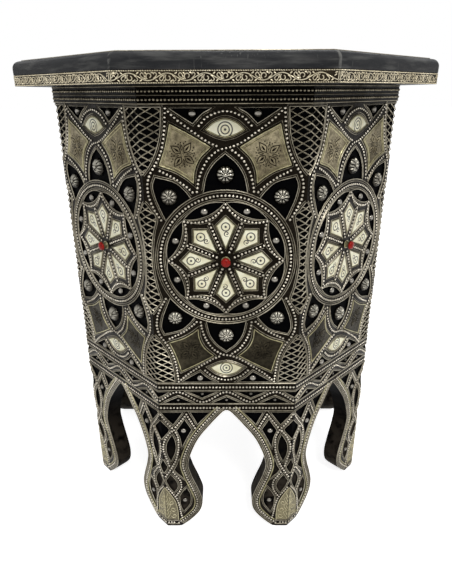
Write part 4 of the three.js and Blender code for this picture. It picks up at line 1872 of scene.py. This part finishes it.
@dataclass
class RimBand(Band):
    """The scroll band round the top board: roped edges and a vine in relief.

    The vine's half period is drawn round its start. Leaves are places and turns, on the vine and at its ends.
    """

    back: float = 218.85
    face: float = 219.3
    low: float = 521.7
    high: float = 532.0
    periods: int = 6
    swing: float = 2.7
    stem: float = 0.6
    spiral_radius: float = 2.7
    right_hook: Points = ((4.4, -1.2), (6.4, 0.6), (7.0, 2.2), (5.2, 3.2), (4.6, 1.8))
    left_hook: Points = ((-1.6, -1.6), (-4.4, -0.4), (-6.0, 1.4), (-4.6, 3.0), (-3.2, 1.8))
    leaves: Spots = (
        (9.4, 2.6, 60), (-8.2, 2.7, -60), (-1.9, 2.7, 55), (-2.6, 0.5, 20), (3.4, 3.0, 75),
    )
    end_leaves: Spots = ((2.9, 2.7, 70), (3.4, 0.9, 55))
    rope_inset: float = 0.75
    rope_pitch: float = 1.35

    def build(self) -> None:
        """Builds the band, its roped edges and its vine."""
        self.base("rim_base", RIM_GROUND, "rim_band")
        vine = self.vine().mitred()
        vine.on_sides("rim_vine", RIM, ground=self.face - 0.1, rise=0.4, sharp=60, under=0.4)

    def vine(self) -> Shape:
        """Draws the relief of one side.

        Returns:
            The stem with its curls, the leaves, the end bars and the ropes.
        """
        middle, reach = (self.low + self.high) / 2, self.face * HALF_TAN
        half = reach / self.periods
        winding = [polar(self.spiral_radius * (1 - 0.6 * k / 20), 215 + 310 * k / 20) for k in range(21)]
        strokes = [
            [(x * half / 12, -self.swing * math.cos(math.pi * x / 12)) for x in range(13)],
            moved(winding, 1.0, 0.6),
            *(smooth(hook, 0.8) for hook in (self.right_hook, self.left_hook)),
        ]
        paths: list[Path] = []
        leaves: list[Matrix] = []
        for k in range(2 * self.periods):
            way, shift = 1 - 2 * (k % 2), -reach + k * half
            paths += [[(shift + x, middle + way * y) for x, y in stroke] for stroke in strokes]
            leaves += [self.laid(shift + x, middle + way * y, way * turn) for x, y, turn in self.leaves]
        for way in (1, -1):
            leaves += [self.laid(way * (x - reach), middle + y, way * turn) for x, y, turn in self.end_leaves]
        paths += [[(x, self.low + 1.6), (x, self.high - 1.6)] for x in (0.9 - reach, reach - 0.9)]
        shape = Shape().wires(paths, self.stem, self.face - 0.2, closed=False)
        leaf = Shape().dome(1.0, 0.6, 10, 3).shaped(lambda co: Vector((co.x * 0.62, co.y * 1.3, co.z)))
        shape.press(leaf, leaves)
        knot = Shape().dome(0.5, 0.5, 6, 2).shaped(lambda co: Vector((co.x * 1.3, co.y, co.z)))
        count = round(2 * reach / self.rope_pitch)
        knots = [-reach + 2 * reach * (k + 0.5) / count for k in range(count)]
        ropes = (self.low + self.rope_inset, self.high - self.rope_inset)
        return shape.press(knot, [self.laid(x, z, 35) for z in ropes for x in knots])

    def laid(self, across: float, up: float, turn: float) -> Matrix:
        """Returns the place of a stamp on the band's face, turned by degrees."""
        return Matrix.Translation((across, up, self.face)) @ Matrix.Rotation(math.radians(turn), 4, "Z")


@dataclass
class TopBoard:
    """The thick board, with a rounded upper edge and a step for the scroll band."""

    apothem: float = 219.25
    step: float = 218.55
    underside: float = 521.7
    band_top: float = 532.3
    surface: float = 545.5
    rounding: float = 7.5
    turns: int = 8
    hub: float = 20

    def build(self) -> None:
        """Builds the board."""
        middle, height = self.apothem - self.rounding, self.surface - self.rounding
        section = [(self.hub, self.underside), (self.step, self.underside), (self.step, self.band_top)]
        section.append((self.apothem, self.band_top))
        for k in range(self.turns + 1):
            a = math.pi / 2 * k / self.turns
            section.append((middle + self.rounding * math.cos(a), height + self.rounding * math.sin(a)))
        section.append((self.hub, self.surface))
        shape = Shape().octagon_ring(section)
        inner = [f for f in shape.work.faces if all(math.hypot(*v.co.xy) < self.hub * 1.2 for v in f.verts)]
        bmesh.ops.delete(shape.work, geom=inner, context="FACES")
        bmesh.ops.holes_fill(shape.work, edges=shape.work.edges, sides=SIDES)
        bmesh.ops.recalc_face_normals(shape.work, faces=shape.work.faces)
        shape.on_top("thick_top", EBONY, "top_board", sharp=30)


@dataclass
class TopOrnament:
    """The sheet on the top: a ring, a star of kites, petals, plates and a beaded edge, all kept low."""

    ground: float = 545.55
    face: float = 546.1
    apothem: float = 209.75
    ring_outer: float = 97.6
    ring_inner: float = 86.6
    ring_steps: int = 160
    lens: tuple[float, float, float, float] = (83.4, 20.6, 85.6, 71)
    star: tuple[float, float, Point] = (80.5, 66.4, (12, 61))
    rosette: float = 62.8
    kite_shares: Points = ((0, 1), (-0.205, 0.81), (0, 0.26), (0.205, 0.81))
    map_scale: float = 62.8 / 44
    line_radius: float = 0.42
    edge_lines: Point = (0.6, 6.4)
    edge_row: float = 3.5
    flower: tuple[float, float] = (163, 1.9)
    bosses: Points = ((9.0, 121), (7.0, 188))
    stud: Point = (4.4, 78.4)
    low_flatness: float = 0.2
    coral: Point = (7.5, 0.85)
    relief: Relief = field(default_factory=lambda: Relief(
        wire_radius=1.0, fine_radius=0.6, fine_gap=1.9, wire_gap=1.2, bead_radius=1.9, flatness=0.42
    ))

    def build(self) -> None:
        """Builds the sheet, its relief and its inlay, from the lowest piece up."""
        self.sheet()
        self.wirework()
        self.beading()
        self.plates()
        self.bossed()
        self.inlay()
        Shape().dome(*self.coral, 32, 5, self.face).on_top("top_coral", CORAL, sharp=60)

    def petal(self) -> Path:
        """Returns a black petal that stands on the ring."""
        foot = self.ring_outer + 1
        return outline(
            [(0, 155), (13.5, 141), (22.5, 122)],
            [polar(foot, 16), polar(foot, 8), (0, foot), polar(foot, -8)],
            [polar(foot, -16), (-22.5, 122), (-13.5, 141)],
        )

    def cells(self) -> list[Path]:
        """Draws the black cells: petals, cells between two plates at a side, and lenses.

        Returns:
            The cells' outlines.
        """
        rim_cell = outline([(-66, 197), (-34, 185.5)], [(0, 171), (34, 185.5)], [(66, 197)])
        found = [anticlockwise(p) for p in all_round(self.petal()) + all_round(rim_cell)]
        return found + lens_cells(*self.lens)

    def corner_plate(self) -> Path:
        """Draws the plate between two petals, towards a corner.

        Returns:
            The plate's outline.
        """
        places = (106, 22.5), (150, 10.2), (177, 5.5), (211, 22.5), (177, 39.5), (150, 34.8)
        inner, a, left, outer, right, b = (polar(*place) for place in places)
        return outline([inner, a], [left], [outer], [right, b])

    def kite(self) -> Path:
        """Returns a bone kite."""
        return outline(*([(x * self.rosette, y * self.rosette)] for x, y in self.kite_shares))

    def octagon(self, apothem: float) -> Path:
        """Returns an octagon with sides to the front and back."""
        return anticlockwise([polar(apothem * STRETCH, STEP_DEG * (k + 0.5)) for k in range(SIDES)])

    def sheet(self) -> None:
        """Builds the pierced sheet."""
        seats = [grown(p, 0.3) for p in all_round(self.kite())]
        loops = [self.octagon(self.apothem), *self.cells(), *seats]
        sheet = Shape().plate(loops, self.ground, self.face, 0.12).welded()
        sheet.on_top("top_pierced_sheet", STRAP, "top_sheet", ground=self.face - 1.0, rise=1.6)

    def wirework(self) -> None:
        """Builds the wires round the cells, kites and plates, and at the ring and the edge."""
        level, radius = self.face, self.line_radius
        kites = [anticlockwise(p) for p in all_round(self.kite())]
        wires = self.relief.framed(Shape(), [*self.cells(), *kites], level)
        wires.wires([anticlockwise(p) for p in all_round(self.corner_plate())], 0.45, level + 0.1)
        lines = [ring(r, self.ring_steps) for r in (self.ring_outer, self.ring_inner)]
        lines += [self.octagon(self.apothem - inset) for inset in self.edge_lines]
        wires.wires(lines, radius, level + 0.1)
        wires.wires([self.octagon(self.apothem + 0.3)], radius, level - 0.1)
        wires.on_top("top_wirework", WIRE, ground=level - 0.6, rise=0.8, sharp=60)

    def beading(self) -> None:
        """Builds the beads."""
        petal_side = smooth([(0, 163.5), (18.5, 144), (28.5, 122), (33.5, 99)])
        rim_side = smooth([(7, 164.5), (38, 178.5), (71, 193)])
        rows = star_rows(*self.star)
        for side in (petal_side, rim_side):
            rows += all_round(side) + all_round(mirrored(side))
        middle = ring((self.ring_outer + self.ring_inner) / 2, self.ring_steps)
        closed = [(p, True) for p in (middle, self.octagon(self.apothem - self.edge_row))]
        beads = self.relief.beads([*closed, *((p, False) for p in rows)], self.face)
        beads.on_top("top_beading", BEAD, ground=self.face - 0.1, rise=0.6, sharp=180)

    def plates(self) -> None:
        """Presses the corner plates with their grooved flowers."""
        level, (away, size) = self.face, self.flower
        spot = polar(away, STEP_DEG / 2)
        cuts, petals = flower(*spot, STEP_DEG / 2, size)
        one = Shape().plate([grown(self.corner_plate(), -0.9), *cuts], level - 0.1, level + 0.3, 0.08)
        for petal in petals:
            one.plate(petal, level - 0.1, level + 0.45, 0.1)
        one.stand(Shape().dome(2.2, 0.6, 12, 3), [[spot]], level)
        shape = Shape().press(one, SIDE_TURNS).welded()
        shape.on_top("top_plates", PLATE, ground=level - 0.1, rise=0.5, sharp=40)

    def bossed(self) -> None:
        """Builds the flat bosses and studs."""
        shape, low = Shape(), Relief(flatness=self.low_flatness)
        for radius, away in self.bosses:
            shape.stand(low.boss(radius), all_round([(0, away)]), self.ground)
        radius, away = self.stud
        shape.stand(low.stud(radius), all_round([polar(away, STEP_DEG / 2)]), self.ground)
        shape.on_top("top_bosses", BOSS, ground=self.ground, sharp=180)

    def inlay(self) -> None:
        """Builds the bone kites."""
        kite = Shape().plate([anticlockwise(self.kite())], self.ground, self.face + 0.3, 0.1).welded()
        kites = Shape().press(kite.mapped(MAP_SIZE * self.map_scale), SIDE_TURNS)
        kites.on_top("top_kites", KITE_BONE, "top_rosette")


@dataclass
class Hidden:
    """The inner frames and screws, which stay as the CAD has them."""

    def dress(self) -> None:
        """Gives each carried-over node its finish."""
        finishes = {"upper_ring_frame": CARCASS, "lower_ring_frame": CARCASS}
        finishes |= {f"top_screw_{k}": STEEL for k in range(1, 5)}
        for name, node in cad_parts.items():
            finish = finishes.get(name, EBONY)
            for held in node.material_slots:
                held.link = "OBJECT"
                held.material = finish.material()
            log.info("%s: CAD node in %s", name, finish.name)


@dataclass
class Studio:
    """Floor, backdrop, light and camera.

    Lamps are a name, a place, a width, a power in watts and a tint.
    """

    floor_size: float = 30.0
    tone: float = 0.8
    near_glow: Point = (0.7, 0.87)
    far_glow: Point = (3.5, 1.0)
    sky_light: float = 0.3
    lamps: tuple[tuple[str, Spot, float, float, Spot], ...] = (
        ("key", (0.6, -1.5, 2.1), 0.9, 30, (1.0, 0.985, 0.96)),
        ("fill", (-1.7, -1.2, 1.4), 1.2, 4, (0.97, 0.985, 1.0)),
        ("above", (0.0, 0.3, 2.6), 1.6, 14, (1.0, 1.0, 1.0)),
        ("behind", (0.4, 2.2, 1.6), 1.2, 12, (1.0, 1.0, 1.0)),
    )
    lit: Spot = (0, 0, 0.3)
    camera_place: Spot = (0.0025, -0.6302, 0.5163)
    pitch_deg: float = 22.94
    turn: float = 0.0056
    roll: float = -0.0055
    lens: float = 29.277

    def build(self) -> None:
        """Sets the floor, the world, the lamps and the camera."""
        self.floor()
        self.world()
        for lamp in self.lamps:
            self.lamp(*lamp)
        self.camera()
        bpy.context.scene.view_settings.view_transform = "Standard"

    def floor(self) -> None:
        """Lays the pale floor, which shows the object's shadow and turns white farther off."""
        work = bmesh.new()
        bmesh.ops.create_grid(work, x_segments=1, y_segments=1, size=self.floor_size / 2)
        mesh = bpy.data.meshes.new("floor")
        work.to_mesh(mesh)
        work.free()
        material = bpy.data.materials.new("floor")
        material.use_nodes = True
        graph = Graph(material.node_tree)
        diffuse = graph.add("ShaderNodeBsdfDiffuse", {"Color": (self.tone, self.tone, self.tone, 1)})
        place = graph.add("ShaderNodeTexCoord").outputs["Object"]
        away = graph.add("ShaderNodeVectorMath", {0: place}, operation="LENGTH").outputs["Value"]
        (near, dim), (far, full) = self.near_glow, self.far_glow
        strength = graph.math("MULTIPLY", self.seen(graph), graph.remap(away, near, far, dim, full))
        glowing = graph.add("ShaderNodeEmission", {"Strength": strength})
        summed = graph.add("ShaderNodeAddShader", {0: diffuse.outputs[0], 1: glowing.outputs[0]})
        graph.add("ShaderNodeOutputMaterial", {"Surface": summed.outputs[0]})
        mesh.materials.append(material)
        placed_in_scene("floor", mesh)

    def seen(self, graph: Graph) -> Socket:
        """Returns 1 for rays from the camera, from gloss or through glass, and 0 for others."""
        path = graph.add("ShaderNodeLightPath").outputs
        return graph.most(path["Is Camera Ray"], path["Is Glossy Ray"], path["Is Transmission Ray"])

    def world(self) -> None:
        """Makes the plain surroundings: white as seen, and a softer light on the object."""
        world = bpy.data.worlds.new("studio")
        bpy.context.scene.world = world
        world.use_nodes = True
        graph = Graph(world.node_tree)
        shown = graph.most(self.seen(graph), self.sky_light)
        sky = graph.add("ShaderNodeBackground", {"Color": (1, 1, 1, 1), "Strength": shown})
        graph.add("ShaderNodeOutputWorld", {"Surface": sky.outputs[0]})

    def lamp(self, name: str, place: Spot, size: float, power: float, tint: Spot) -> None:
        """Hangs a soft square lamp that faces the stool.

        Args:
            name: Its name.
            place: Where it hangs.
            size: Its width.
            power: Its power in watts.
            tint: Its colour.
        """
        light = bpy.data.lights.new(name, "AREA")
        light.size, light.energy, light.color = size, power, tint
        holder = placed_in_scene(name, light)
        holder.location = place
        holder.rotation_euler = (Vector(self.lit) - Vector(place)).to_track_quat("-Z", "Y").to_euler()

    def camera(self) -> None:
        """Places the camera at the photograph's angle."""
        data = bpy.data.cameras.new("camera")
        data.sensor_width, data.lens = 36.0, self.lens
        data.clip_start, data.clip_end = 0.01, 100
        turn = Matrix.Rotation(self.turn, 4, "Z") @ Matrix.Rotation(math.radians(90 - self.pitch_deg), 4, "X")
        holder = placed_in_scene("camera", data)
        turn = turn @ Matrix.Rotation(self.roll, 4, "Z")
        holder.matrix_world = Matrix.Translation(self.camera_place) @ turn
        bpy.context.scene.camera = holder


def main() -> None:
    """Builds the stool and the studio."""
    logging.basicConfig(level=logging.INFO, format="%(message)s")
    Studio().build()
    Hidden().dress()
    SidePanel().build()
    CrownBand().build()
    RimBand().build()
    TopBoard().build()
    TopOrnament().build()


if __name__ == "__main__":
    main()
